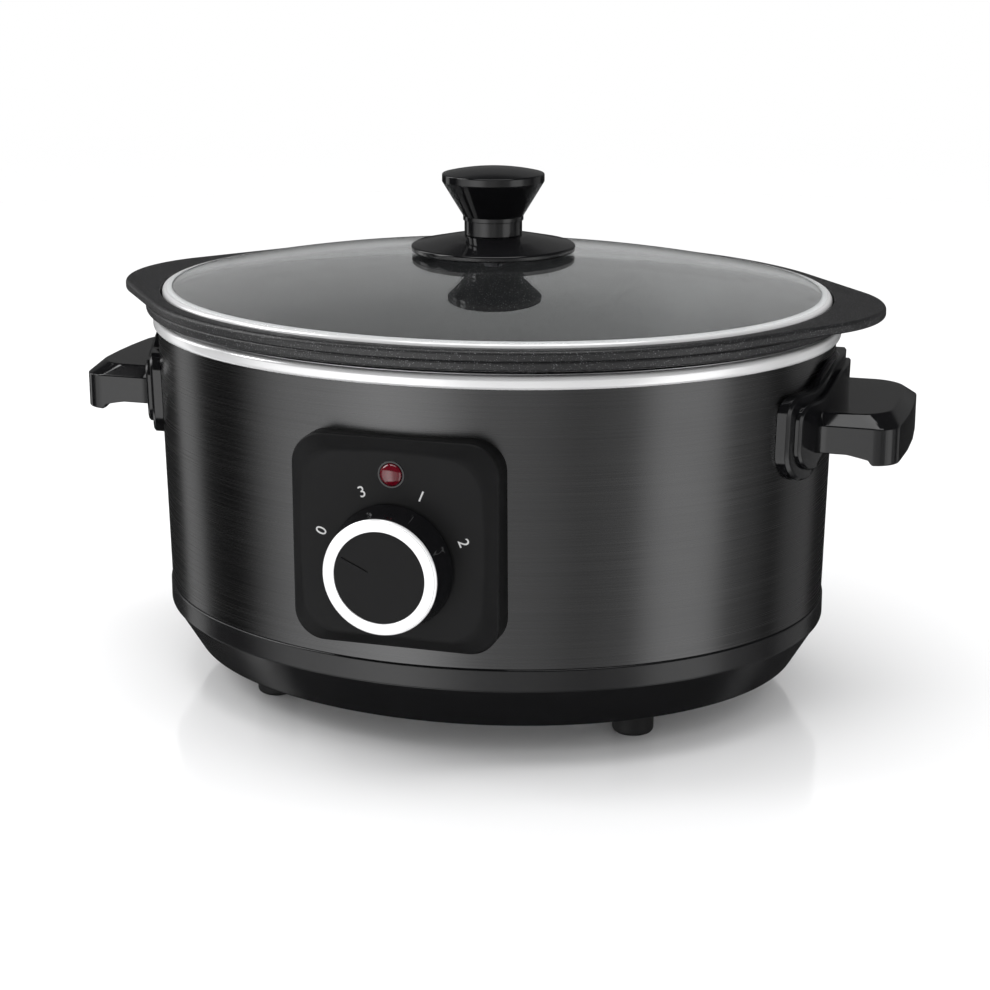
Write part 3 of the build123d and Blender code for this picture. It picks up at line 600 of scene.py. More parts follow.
def put(piece: bpy.types.Object, body: str, *nodes: str, slot: str = "") -> bpy.types.Object:
    """Dress a new piece and tie it into the frame.

    Args:
        piece: the new object.
        body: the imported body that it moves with.
        nodes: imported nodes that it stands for.
        slot: the material slot, if it isn't the first node's.

    Returns:
        The piece.
    """
    name = slot or SLOTS[nodes[0]]
    piece.data.materials.clear()
    piece.data.materials.append(finish(name))
    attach(piece, body)
    if nodes:
        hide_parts(*nodes)
    LOG.info("%s: %d faces", piece.name, len(piece.data.polygons))
    return piece


def dress(*nodes: str) -> None:
    """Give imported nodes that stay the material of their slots.

    Args:
        nodes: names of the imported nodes.
    """
    for node in nodes:
        piece = frame["nodes"][node]
        piece.data.materials.clear()
        piece.data.materials.append(finish(SLOTS[node]))
        LOG.info("%s: kept from the frame", node)


# ---------------------------------------------------------------- base
@dataclass
class Base:
    """Moulded base on rubber feet, with the cord's gland at the rear."""

    band_proud: float = 0.6
    step_depth: float = 0.9
    step_flat: float = 0.5         # upright edge under the step
    skirt_height: float = 20.0
    skirt_draw: float = 12.5
    wall: float = 2.5
    floor: float = 4.0
    lip_height: float = 6.0
    lip_gap: float = 1.05
    cover_margin: float = 7.0
    cover_fit: float = 0.25
    cover_thickness: float = 2.0
    foot_radius: float = 9.0
    foot_pocket: float = 8.0
    foot_pocket_radius: float = 4.05
    foot_bore: float = 1.95
    foot_round: float = 3.0
    pad_radius: float = 11.0
    gland_flange: float = 3.0

    def housing(self) -> Solid:
        """Skirt, shadow step, plain band, upstand and floor as one closed section carried round the oval.

        Returns:
            The closed surfaces.
        """
        foot = Span.of("base_housing").low.z
        step = foot + self.skirt_height
        shell = SHELL.low.z
        band = grown(shell_half(shell), self.band_proud)
        skirt, drawn_in = grown(band, -self.step_depth), grown(band, -self.skirt_draw)
        lip = grown(shell_half(shell), -self.lip_gap)
        cover = grown(Span.of("bottom_cover").half, self.cover_fit)
        ledge = grown(cover, -self.cover_margin - self.cover_fit)
        inside = foot + self.floor
        corners = (
            (*cover, foot), (*drawn_in, foot), (*skirt, step - self.step_flat), (*skirt, step), (*band, step),
            (*band, shell), (*lip, shell), (*lip, shell + self.lip_height),
            (*grown(lip, -self.wall), shell + self.lip_height), (*grown(skirt, -self.wall), step),
            (*grown(drawn_in, -self.wall), inside), (*ledge, inside),
            (*ledge, foot + self.cover_thickness), (*cover, foot + self.cover_thickness),
        )
        radii = (0.4, 3.0, 0.2, 0.15, 0.5, 0.9, 0.3, 0.6, 0.6, 1.0, 2.0, 0.5, 0.3, 0.3)
        return Solid().add(oval_rows(rounded_loop(corners, radii)), closed=True)

    def gland_pad(self) -> Solid:
        """Flat round pad that the gland's flange seats on, standing out of the sloped skirt.

        Returns:
            The closed surfaces.
        """
        gland = Span.of("cord_gland")
        face = gland.high.y - self.gland_flange
        root = Span.of("base_housing").high.y - self.skirt_draw - self.pad_radius
        profile = rounded(((self.pad_radius, root), (self.pad_radius, face), (0.5, face)), 0.8)
        return Solid().add(turned_rows(profile, (0, 0, gland.centre.z), Facing.REAR),
                           low=(0, root, gland.centre.z), high=(0, face, gland.centre.z))

    def feet(self) -> Solid:
        """Four turned feet, each with the screw's pocket and bore.

        Returns:
            The closed surfaces.
        """
        span = Span.of("feet")
        radius, height = self.foot_radius, span.high.z
        corners = (
            (self.foot_pocket_radius, 0), (radius, 0), (radius, height), (self.foot_bore, height),
            (self.foot_bore, self.foot_pocket), (self.foot_pocket_radius, self.foot_pocket),
        )
        profile = rounded_loop(corners, (0.4, self.foot_round, 0.4, 0.2, 0.2, 0.3))
        solid = Solid()
        for x in (span.low.x + radius, span.high.x - radius):
            for y in (span.low.y + radius, span.high.y - radius):
                solid.add(turned_rows(profile, (x, y, 0), columns=64), closed=True)
        return solid

    def build(self) -> None:
        """Make the base's pieces and dress what stays from the frame."""
        put(self.housing().build("base_housing_skin"), "base", "base_housing")
        put(self.gland_pad().build("gland_pad"), "base", slot="base_plastic")
        put(self.feet().build("rubber_feet"), "base", "feet")
        dress("bottom_cover", "cover_screws", "foot_screws", "cord_gland", "terminal_block", "tie_stud",
              "tie_nut", "switch_leads")


# ---------------------------------------------------------------- shell, ring and well
@dataclass
class Body:
    """Brushed steel shell, its polished ring and the heated well inside."""

    sheet: float = 0.8
    ring_width: float = 4.8
    well_wall: float = 1.0
    well_taper: float = 25.5
    well_corner: float = 5.0
    flange_reach: float = 2.4

    def shell(self) -> Solid:
        """Thin flared oval wall, its two edges rolled round.

        Returns:
            The closed surfaces.
        """
        low, high = SHELL.low.z, SHELL.high.z
        inner = -self.sheet
        corners = (
            (*shell_half(low, inner), low), (*shell_half(low), low), (*shell_half(high), high),
            (*shell_half(high, inner), high),
        )
        return Solid().add(oval_rows(rounded_loop(corners, 0.35, 3), 384), closed=True)

    def ring(self) -> Solid:
        """Trim ring with a soft outer face.

        Returns:
            The closed surfaces.
        """
        span = Span.of("trim_ring")
        outer, inner = span.half, grown(span.half, -self.ring_width)
        corners = ((*inner, span.low.z), (*outer, span.low.z), (*outer, span.high.z), (*inner, span.high.z))
        return Solid().add(oval_rows(rounded_loop(corners, (0.2, 1.9, 2.4, 0.4)), 384), closed=True)

    def well(self) -> Solid:
        """Tapered sheet well with a flange that lies on the ring.

        Returns:
            The closed surfaces.
        """
        span = Span.of("heating_well")
        floor, top = span.low.z, span.high.z - self.sheet
        rim = grown(span.half, -self.flange_reach)
        foot = grown(rim, -self.well_taper)
        inside = floor + self.well_wall
        inner_rim, inner_foot = grown(rim, -self.well_wall), grown(foot, -self.well_wall)
        corners = (
            (foot[0] / 3, foot[1] / 3, floor), (*foot, floor), (*rim, top), (*span.half, top),
            (*span.half, top + self.sheet), (*inner_rim, top + self.sheet), (*inner_foot, inside),
            (foot[0] / 3, foot[1] / 3, inside),
        )
        radii = (self.well_corner, 0.4, 0.35, 0.35, 0.8, self.well_corner - self.well_wall)
        return Solid().add(oval_rows(rounded(corners, radii)), low=(0, OVAL_Y, floor),
                           high=(0, OVAL_Y, inside))

    def build(self) -> None:
        """Make the shell, ring and well, and dress the heating parts."""
        put(self.shell().build("steel_shell"), "base", "outer_shell")
        put(self.ring().build("polished_ring"), "base", "trim_ring")
        put(self.well().build("steel_well"), "base", "heating_well")
        dress("heater_band", "heater_strap", "insulation_blanket", "thermal_cutout")


# ---------------------------------------------------------------- controls
@dataclass
class Controls:
    """Satin bezel with printed settings, lamp, and the dial with its bright ring."""

    corner: float = 13.0
    slope_depth: float = 3.2
    slope_width: float = 4.6
    face_power: float = 4.6        # squareness of the raised face's outline
    ring_depth: float = 1.6
    ring_width: float = 4.9
    dial_wall: float = 2.2
    hub_radius: float = 7.0
    nut_space: float = 4.2
    bore_radius: float = 3.03
    foot_radius: float = 26.5
    face_radius: float = 24.0
    rib_count: int = 90
    rib_depth: float = 0.16
    lens_radius: float = 4.6
    lens_root: float = 3.0         # how deep the lens stands in the bezel
    lens_side: float = 0.4         # straight side of the lens, proud of the bezel
    lens_dome: float = 1.992       # height of its dome
    mark_radius: float = 32.6
    mark_height: float = 4.6
    mark_depth: float = 0.04
    capital_share: float = 0.7     # height of a capital, as a share of the font's size
    marks: tuple[tuple[str, float], ...] = (("0", 157.5), ("3", 112.5), ("1", 67.5), ("2", 22.5))
    span: Span = field(default_factory=lambda: Span.of("control_bezel"))

    @property
    def face_y(self) -> float:
        """Where the bezel's raised face lies."""
        return self.span.low.y

    @property
    def dial_centre(self) -> tuple[float, float, float]:
        """Where the dial's axis meets its back."""
        dial = Span.of("control_dial")
        return 0.0, dial.high.y, dial.centre.z

    def bezel(self) -> Solid:
        """Rounded square block with a sloped frame round a face whose outline is a superellipse.

        The outline at a step s across the frame is the straight mix of the rounded square and the
        superellipse |x|^n + |z|^n = r^n, point by point. Past the frame it shrinks to the middle.

        Returns:
            The closed surfaces.
        """
        half = self.span.half[0]
        square = ((half, -half), (half, half), (-half, half), (-half, -half))
        outer = spread(rounded_loop(square, self.corner, 10), 3)
        angle = np.arctan2(outer[:, 1], outer[:, 0])
        reach = half - self.slope_width
        power = self.face_power
        radius = reach / (np.abs(np.cos(angle)) ** power + np.abs(np.sin(angle)) ** power) ** (1 / power)
        face = radius[:, None] * np.stack((np.cos(angle), np.sin(angle)), axis=1)
        depth = self.slope_depth
        section = rounded(((0, depth + 1.5), (0, depth), (self.slope_width, 0), (2 * self.slope_width, 0)),
                          (1.6, 4.0), 7)
        share = np.clip(section[:, 0, None, None] / self.slope_width, 0, 1)
        shrink = 1 - np.clip(section[:, 0, None, None] - self.slope_width, 0, reach) / reach
        across = (outer * (1 - share) + face * share) * shrink
        level = self.face_y + section[:, 1, None] + np.zeros(len(outer))
        front = np.stack((across[..., 0], level, self.span.centre.z + across[..., 1]), axis=-1)
        root = front[:1].copy()
        half_x, half_y = shell_half(root[..., 2])
        root[..., 1] = OVAL_Y - half_y * np.sqrt(1 - (root[..., 0] / half_x) ** 2) + 0.6
        height = self.span.centre.z
        return Solid().add(np.concatenate((root, front)), low=(0, root[..., 1].max(), height),
                           high=(0, self.face_y, height))

    def dial(self) -> Solid:
        """Hollow turned dial with a hub; the side's radius dips by a raised cosine, once for each rib.

        Returns:
            The closed surfaces.
        """
        height = Span.of("control_dial").half[1] * 2
        hollow, under = self.face_radius - self.dial_wall, height - self.dial_wall
        corners = (
            (self.bore_radius, self.nut_space), (self.hub_radius, self.nut_space),
            (self.hub_radius, under), (hollow, under), (hollow, 0), (self.foot_radius, 0),
            (self.face_radius, height), (self.bore_radius, height),
        )
        profile = rounded_loop(corners, (0.2, 0.4, 0.5, 0.5, 0.2, 0.8, 0.5, 0.2), 5)
        rows = turned_rows(profile, (0, 0, 0), columns=8 * self.rib_count)
        radius = np.hypot(rows[..., 0], rows[..., 1])
        turn = np.arctan2(rows[..., 1], rows[..., 0])
        side = ramp(radius, self.face_radius - 0.6, self.face_radius) * ramp(rows[..., 2], 0.5, 2)
        side = side * ramp(rows[..., 2], height - 0.3, height - 1.4)
        dip = self.rib_depth * side * (1 - np.cos(self.rib_count * turn)) / 2
        x, y, z = rows[..., 0] * (1 - dip / radius), rows[..., 1] * (1 - dip / radius), rows[..., 2]
        origin = self.dial_centre
        return Solid().add(np.stack((origin[0] + x, origin[1] - z, origin[2] + y), axis=-1), closed=True)

    def ring(self) -> Solid:
        """Bright ring let into the dial's face, with a bevelled outer edge and a fine turned line.

        Returns:
            The closed surfaces.
        """
        height = Span.of("control_dial").half[1] * 2
        inner, outer = self.face_radius - self.ring_width, self.face_radius
        top = height + self.ring_depth
        corners = ((inner, height), (outer, height), (outer, top - 0.75), (outer - 0.35, top - 0.4),
                   (outer - 0.75, top - 0.4), (outer - 0.85, top), (inner, top))
        profile = rounded_loop(corners, (0.1, 0.1, 0.15, 0.06, 0.06, 0.12, 0.15), 4)
        return Solid().add(turned_rows(profile, self.dial_centre, Facing.FRONT, 160), closed=True)

    def lens(self) -> Solid:
        """Domed lamp lens: a circle's arc over a short straight side.

        Returns:
            The closed surfaces.
        """
        height = Span.of("lamp_lens").centre.z
        radius, top = self.lens_radius, self.lens_side + self.lens_dome
        bulge = np.linspace(0, pi / 2, 12)[:-1]
        crown = np.stack((radius * np.cos(bulge), self.lens_side + self.lens_dome * np.sin(bulge)), axis=1)
        profile = np.concatenate((((radius, -self.lens_root), (radius, -self.lens_side / 2)), crown))
        return Solid().add(turned_rows(profile, (0, self.face_y, height), Facing.FRONT, 64),
                           low=(0, self.face_y + self.lens_root, height), high=(0, self.face_y - top, height))

    def seat(self) -> Solid:
        """Dark rim round the lens's hole, a ring with a half-round top.

        Returns:
            The closed surfaces.
        """
        span = Span.of("lamp_lens")
        corners = ((4.75, -0.5), (5.7, -0.5), (5.7, 0.28), (4.75, 0.28))
        return Solid().add(turned_rows(rounded_loop(corners, 0.2, 4), (0, self.face_y, span.centre.z),
                                       Facing.FRONT, 64), closed=True)

    def print_marks(self) -> None:
        """Plain numerals printed round the dial, one thin mesh each, turned to face the dial's centre."""
        paint = Moulded("pale_printing", (0.62, 0.62, 0.62), 0.5, lift=1.05).make()
        _, _, centre_z = self.dial_centre
        for text, degrees in self.marks:
            angle = radians(degrees)
            curve = bpy.data.curves.new("mark", "FONT")
            curve.body = text
            curve.align_x, curve.align_y = "CENTER", "CENTER"
            curve.size = self.mark_height * MM / self.capital_share
            curve.extrude = self.mark_depth * MM
            curve.offset = self.mark_depth / 2 * MM
            source = bpy.data.objects.new("mark", curve)
            mesh = bpy.data.meshes.new_from_object(source)
            points = np.zeros(3 * len(mesh.vertices))
            mesh.vertices.foreach_get("co", points)
            flat = points.reshape(-1, 3) / MM
            lean = angle - pi / 2
            x = flat[:, 0] * cos(lean) - flat[:, 1] * sin(lean) + self.mark_radius * cos(angle)
            z = flat[:, 0] * sin(lean) + flat[:, 1] * cos(lean) + self.mark_radius * sin(angle)
            placed = np.stack((x, self.face_y - flat[:, 2], centre_z + z), axis=1) * MM
            mesh.vertices.foreach_set("co", placed.ravel())
            mesh.update()
            mesh.name = f"setting_mark_{text}"
            piece = bpy.data.objects.new(mesh.name, mesh)
            bpy.context.scene.collection.objects.link(piece)
            piece.data.materials.clear()
            piece.data.materials.append(paint)
            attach(piece, "base")
            bpy.data.objects.remove(source)
            bpy.data.curves.remove(curve)

    def build(self) -> None:
        """Make the controls and dress what stays from the frame."""
        put(self.bezel().build("bezel_moulding"), "base", "control_bezel")
        put(self.lens().build("red_lens"), "base", "lamp_lens")
        put(self.seat().build("lens_seat"), "base", slot="gloss_black")
        put(self.dial().build("ribbed_dial"), "dial", "control_dial")
        put(self.ring().build("bright_dial_ring"), "dial", "dial_ring")
        self.print_marks()
        dress("dial_cap", "switch_shaft", "bezel_screws", "rotary_switch", "switch_nut", "neon_lamp")


# ---------------------------------------------------------------- handles
@dataclass
class Handle:
    """One end handle: a bell-shaped plate that follows the shell, and a D-shaped grip on it."""

    side: int                      # +1 at the right end, -1 at the left
    plate_thickness: float = 4.6
    flange: float = 2.2
    border: float = 4.2
    plate_half: float = 56.0
    hump_foot: float = 36.0
    hump_half: float = 17.0
    hump_height: float = 8.5
    plate_corner: float = 14.0
    shoulder_corner: float = 12.0
    hump_bend: float = 24.0
    grip_drop: float = 18.0        # top of the grip below the top of the plate
    grip_half: float = 40.0
    grip_corner: float = 9.0
    top_corner: float = 17.0
    slope: float = 5.0
    bulge: float = 2.5
    lip: float = 4.0
    lip_width: float = 9.0
    side_depth: float = 17.0
    wall: float = 3.5
    ceiling: float = 6.0
    root: float = 10.0
    root_inside: float = -5.0      # the grip's root is buried this far inside the shell

    @property
    def name(self) -> str:
        """Which end this handle is at."""
        return "right" if self.side > 0 else "left"

    def bell(self, border: float) -> Path:
        """Bell outline in the plane across the cooker, drawn in by a border, anticlockwise from outside.

        Args:
            border: how far the outline is drawn in.

        Returns:
            Points (y, z) of the loop.
        """
        plate = Span.of(f"handle_plate_{self.name}")
        half, foot, hump = self.plate_half - border, self.hump_foot - border / 2, self.hump_half - border / 2
        low, high = plate.low.z + border, plate.high.z - border
        shoulder = high - self.hump_height
        corners = ((half, low), (half, shoulder), (foot, shoulder), (hump, high), (-hump, high),
                   (-foot, shoulder), (-half, shoulder), (-half, low))
        bend = self.hump_bend
        soft = self.shoulder_corner
        return spread(rounded_loop(corners, (self.plate_corner, soft, bend, bend, bend, bend, soft,
                                             self.plate_corner), 8), 2)

    def on_shell(self, outlines: Rows, proud: np.ndarray) -> Rows:
        """Lay outlines (rows, columns, (y, z)) on the shell's surface, each row raised by its own amount.

        Args:
            outlines: points (y, z), row by row.
            proud: distance outside the shell, one for each row.

        Returns:
            Points (x, y, z), on the right-hand end.
        """
        y, z = outlines[..., 0], outlines[..., 1]
        half_x, half_y = shell_half(z, proud[:, None])
        return np.stack((half_x * np.sqrt(1 - (y / half_y) ** 2), OVAL_Y + y, z), axis=-1)

    def shield(self, border: float, low: float, high: float, edge: float) -> tuple[Rows, tuple, tuple]:
        """Solid plate with the bell's outline, between two distances from the shell.

        Args:
            border: how far the outline is drawn in.
            low: distance of the back from the shell.
            high: distance of the face from the shell.
            edge: width of the bevel round the face.

        Returns:
            The rows, and the points that close the back and the face.
        """
        section = rounded(((1.0, low), (0, low), (0, high - edge), (edge, high), (edge + 1.5, high)),
                          (0.15, 0.35, 0.35), 4)
        outline = np.stack([self.bell(border + inset) for inset in section[:, 0]])
        middle = outline.mean(axis=(0, 1))
        inward = np.linspace(0.8, 0.2, 4)
        back = middle + (outline[0] - middle) * inward[::-1, None, None]
        face = middle + (outline[-1] - middle) * inward[:, None, None]
        proud = np.concatenate((np.full(4, low), section[:, 1], np.full(4, high)))
        rows = self.on_shell(np.concatenate((back, outline, face)), proud)
        poles = self.on_shell(np.tile(middle, (2, 1, 1)), np.array((low, high)))
        return rows, tuple(poles[0, 0]), tuple(poles[1, 0])

    def plan(self, inset: float, corner: float, root: float, reach: float) -> Path:
        """D-shaped plan of the grip, its end bowed out by (1 - (y / half)^2) of the bulge.

        Args:
            inset: how far the sides and the end are drawn in.
            corner: radius of the outer corners.
            root: where the straight sides begin.
            reach: the end's distance from the middle, before the bow.

        Returns:
            Points (x, y), anticlockwise seen from above.
        """
        half, end = self.grip_half - inset, reach - inset
        path = rounded(((root, -half), (end, -half), (end, half), (root, half)), corner, 9)
        path = spread(path, 3)
        bow = self.bulge * (1 - (path[:, 1] / half) ** 2) * (path[:, 0] - root) / (end - root)
        return np.stack((path[:, 0] + bow, path[:, 1]), axis=1)

    def grip(self) -> tuple[Rows, tuple, tuple]:
        """D-shaped grip with a sloped facet round its top and a finger hollow below.

        The section runs from the hollow's ceiling down, round the lower edge, up the side and over the
        slope. Heights below the slope are stretched to a lower edge that drops by the lip near the end.

        Returns:
            The rows, and the points that close the ceiling and the top.
        """
        plate = Span.of(f"handle_plate_{self.name}")
        handle = Span.of(f"handle_{self.name}")
        reach = max(abs(handle.low.x), abs(handle.high.x)) - self.bulge
        top = plate.high.z - self.grip_drop
        steps = 6
        bottom, slope_z, ceiling = top - self.side_depth - self.lip, top - self.slope, top - self.ceiling
        section = rounded(
            ((self.wall + 6, ceiling), (self.wall, ceiling), (self.wall, bottom), (0, bottom), (0, slope_z),
             (self.slope, top), (self.slope + 3, top)), (2.0, 0.7, 0.9, 1.2, 1.6), steps)
        shell_x = SHELL.half[0]
        inner = np.arange(len(section)) <= 2 * (steps + 3)      # the hollow's two corners
        share = np.where(section[:, 1] > slope_z, np.clip(section[:, 0] / self.slope, 0, 1), 0)
        corner = np.where(inner, self.grip_corner - self.wall,
                          self.grip_corner + (self.top_corner - self.grip_corner) * share)
        root = shell_x + np.where(inner, self.root, self.root_inside)
        plan = np.stack([self.plan(inset, bend, start, reach)
                         for inset, bend, start in zip(section[:, 0], corner, root)])
        height = section[:, 1, None] + np.zeros(plan.shape[1])
        edge = bottom + self.lip * (1 - ramp(plan[..., 0], reach - self.lip_width - self.lip,
                                             reach - self.lip_width))
        stretched = edge + (height - bottom) * (slope_z - edge) / (slope_z - bottom)
        height = np.where(height < slope_z, stretched, height)
        body = np.stack((plan[..., 0], OVAL_Y + plan[..., 1], height), axis=-1)
        low = (shell_x + self.root + 2, OVAL_Y, float(height[0].mean()))
        high = (shell_x, OVAL_Y, top)
        under = np.array(low) + (body[0] - np.array(low)) * np.array((0.35, 0.7))[:, None, None]
        over = np.array(high) + (body[-1] - np.array(high)) * np.array((0.7, 0.35))[:, None, None]
        return np.concatenate((under, body, over)), low, high

    def closed(self, parts: Sequence[tuple[Rows, tuple, tuple]]) -> Solid:
        """Gather parts into a solid, mirrored for the left end.

        Args:
            parts: rows of each part, with the points that close them.

        Returns:
            The closed surfaces.
        """
        solid = Solid()
        turn = np.array((self.side, 1, 1))
        for rows, low, high in parts:
            solid.add(rows * turn, low=np.array(low) * turn, high=np.array(high) * turn,
                      flipped=self.side < 0)
        return solid

    def build(self) -> None:
        """Make the plate and the grip."""
        plate = self.shield(0, 0.05, self.plate_thickness, 0.9)
        flange = self.shield(self.border, self.plate_thickness, self.plate_thickness + self.flange, 0.8)
        put(self.closed((plate,)).build(f"plate_{self.name}"), "base", f"handle_plate_{self.name}")
        put(self.closed((flange, self.grip())).build(f"grip_{self.name}"), "base", f"handle_{self.name}")


# ---------------------------------------------------------------- pot
@dataclass
class Pot:
    """Cast searing pot: tapered wall, beaded rim with ears at both ends, and a recess for the lid."""

    wall: float = 2.5
    floor: float = 3.0
    foot_inset: float = 30.5
    corner: float = 14.0
    rim_reach: float = 10.5
    bead: float = 4.2
    plate: float = 4.2
    floor_share: float = 0.4       # part of the floor that the section starts from
    ear_reach: float = 16.5
    ear_radius: float = 60.0
    seat_depth: float = 4.0
    seat_width: float = 6.5
    span: Span = field(default_factory=lambda: Span.of("pot"))

    def ear_outline(self, half: tuple[float, float], bearing: np.ndarray) -> np.ndarray:
        """Radius, at each bearing, of the shape stretched round the rim's oval and the two ear circles.

        Its farthest point along a direction is the farther of the oval's and the nearer circle's, and the
        straights between the two are cut finely enough to read radii from.

        Args:
            half: half sizes of the rim's oval.
            bearing: directions from the middle, in radians.

        Returns:
            One radius for each bearing.
        """
        a, b = half
        ear = a + self.ear_reach - self.ear_radius
        way = np.linspace(0, 2 * pi, 2400, endpoint=False)
        along, across = np.cos(way), np.sin(way)
        oval_reach = np.hypot(a * along, b * across)
        ear_reach = ear * np.abs(along) + self.ear_radius
        x = np.where(oval_reach > ear_reach, a * a * along / oval_reach,
                     ear * np.sign(along) + self.ear_radius * along)
        y = np.where(oval_reach > ear_reach, b * b * across / oval_reach, self.ear_radius * across)
        loop = np.stack((x, y), axis=1)
        fine = spread(np.concatenate((loop, loop[:1])), 12)
        return np.interp(bearing, np.unwrap(np.arctan2(fine[:, 1], fine[:, 0])), np.hypot(*fine.T),
                         period=2 * pi)

    def solid(self) -> Solid:
        """Outside from the foot up to the lower bead, the eared flange over it, then the inside down.

        Returns:
            The closed surfaces.
        """
        top, foot = self.span.high.z, self.span.low.z
        rim = (self.span.half[0] - self.ear_reach, self.span.half[1])
        wall_rim = grown(rim, -self.rim_reach)
        wall_foot = grown(wall_rim, -self.foot_inset)
        inner_rim, inner_foot = grown(wall_rim, -self.wall), grown(wall_foot, -self.wall)
        seat = grown(inner_rim, self.seat_width)
        bead_top = top - self.plate
        bead_low = bead_top - self.bead
        seat_z = top - self.seat_depth
        share = self.floor_share
        outside = rounded(
            ((share * wall_foot[0], share * wall_foot[1], foot), (*wall_foot, foot), (*wall_rim, bead_low),
             (*rim, bead_low), (*rim, bead_top), (*grown(rim, -2.2), bead_top)),
            (self.corner, 1.0, 1.9, 1.9), 8)
        inside = rounded(
            ((*grown(seat, 0.9), top), (*seat, top), (*seat, seat_z), (*inner_rim, seat_z),
             (*grown(inner_rim, -0.5), bead_low), (*inner_foot, foot + self.floor),
             (share * inner_foot[0], share * inner_foot[1], foot + self.floor)),
            (0.7, 0.8, 1.4, 8.0, self.corner - self.wall), 8)
        flange = rounded(((2.6, bead_top - 0.3), (0, bead_top - 0.3), (0, top), (4.6, top)), (2.1, 2.3), 8)
        columns = 480
        ring = oval_rows(np.array(((*rim, 0),)), columns)[0, :, :2] - (0, OVAL_Y)
        bearing = np.arctan2(ring[:, 1], ring[:, 0])
        radius = self.ear_outline(rim, bearing) - flange[:, 0, None]
        eared = np.stack((radius * np.cos(bearing), OVAL_Y + radius * np.sin(bearing),
                          flange[:, 1, None] + 0 * bearing), axis=-1)
        rows = np.concatenate((oval_rows(outside, columns), eared, oval_rows(inside, columns)))
        return Solid().add(rows, low=(0, OVAL_Y, foot), high=(0, OVAL_Y, foot + self.floor))

    def build(self) -> None:
        """Make the pot."""
        put(self.solid().build("searing_pot"), "pot", "pot")


# ---------------------------------------------------------------- lid
@dataclass
class Lid:
    """Domed glass lid in a polished rim, with a two-piece knob."""

    rim_width: float = 5.0
    glass_thickness: float = 4.0
    hole: float = 4.5
    flange_edge: float = 2.6
    neck_radius: float = 13.0
    collar_radius: float = 13.6
    collar_height: float = 2.0
    neck_height: float = 8.5
    cone_height: float = 15.5
    band_height: float = 3.4

    def glass(self) -> Solid:
        """Dome whose two faces follow a sphere's cap, drawn in across the cooker to fit the oval.

        Returns:
            The closed surfaces.
        """
        span = Span.of("lid_glass")
        half, low = span.half, span.low.z
        rise = span.high.z - low - self.glass_thickness
        ball = (half[0] ** 2 + rise ** 2) / (2 * rise)
        share = np.linspace(self.hole / half[0], 1 - 0.7 / half[0], 48)
        cap = np.sqrt(ball ** 2 - (share * half[0]) ** 2) - (ball - rise)
        across = np.outer(share, half)
        under = np.column_stack((across, low + cap))
        over = np.column_stack((across, low + cap + self.glass_thickness))[::-1]
        edge = rounded((under[-1], (*half, low), (*half, low + self.glass_thickness), over[0]), 0.5, 4)[1:-1]
        return Solid().add(oval_rows(np.concatenate((under, edge, over))), closed=True)

    def rim(self) -> Solid:
        """Polished rim, round outside.

        Returns:
            The closed surfaces.
        """
        span = Span.of("lid_rim")
        outer, inner = span.half, grown(span.half, -self.rim_width)
        corners = ((*inner, span.low.z), (*outer, span.low.z), (*outer, span.high.z), (*inner, span.high.z))
        return Solid().add(oval_rows(rounded_loop(corners, (0.5, 2.0, 2.2, 1.0), 8), 384), closed=True)

    def flange(self) -> Solid:
        """Knob's flange: flat below, a crisp edge and a low rise to the neck.

        Returns:
            The closed surfaces.
        """
        span = Span.of("knob_flange")
        radius, low, high = span.half[0], span.low.z, span.high.z
        edge = low + self.flange_edge
        profile = rounded(((radius / 3, low), (radius, low), (radius, edge), (0.62 * radius, high - 1.6),
                           (self.neck_radius + 2.4, high - 0.2), (self.neck_radius - 1, high + 0.1),
                           (2, high)), (0.7, 1.0, 60, 3, 3), 7)
        profile[:, 1] = np.minimum(profile[:, 1], high)
        return Solid().add(turned_rows(profile, (0, OVAL_Y, 0), columns=144), low=(0, OVAL_Y, low),
                           high=(0, OVAL_Y, high))

    def knob(self) -> Solid:
        """Knob: neck, collar, cone, upright band, and a crown that falls as the square of the radius.

        Returns:
            The closed surfaces.
        """
        span = Span.of("lid_knob")
        radius, low, high = span.half[0], span.low.z, span.high.z
        collar = low + self.neck_height
        band = collar + self.cone_height
        edge = band + self.band_height
        neck = self.neck_radius
        side = rounded(((neck / 3, low), (neck, low), (neck, collar - self.collar_height),
                        (self.collar_radius, collar - self.collar_height), (self.collar_radius, collar),
                        (radius, band), (radius, edge), (0.93 * radius, high - (high - edge) * 0.93 ** 2)),
                       (0.3, 0.12, 0.25, 0.5, 0.7, 0.7), 6)
        share = np.linspace(0.9, 0.08, 14)
        crown = np.stack((radius * share, high - (high - edge) * share ** 2), axis=1)
        return Solid().add(turned_rows(np.concatenate((side, crown)), (0, OVAL_Y, 0), columns=144),
                           low=(0, OVAL_Y, low), high=(0, OVAL_Y, high))

    def build(self) -> None:
        """Make the lid and dress its fittings."""
        put(self.glass().build("dome_glass"), "lid", "lid_glass")
        put(self.rim().build("polished_lid_rim"), "lid", "lid_rim")
        put(self.flange().build("knob_base"), "lid", "knob_flange")
        put(self.knob().build("turned_knob"), "lid", "lid_knob")
        dress("lid_gasket", "lid_washer", "lid_screw")


# ---------------------------------------------------------------- studio
@dataclass(frozen=True)
class Panel:
    """Soft light panel seen only in reflections. Azimuth 0 is in front of the controls, 90 at the right."""

    azimuth: float
    spread: float              # half width, degrees
    fade: float                # soft edge, degrees
    low: float                 # lowest and highest elevation, degrees
    high: float
    strength: float


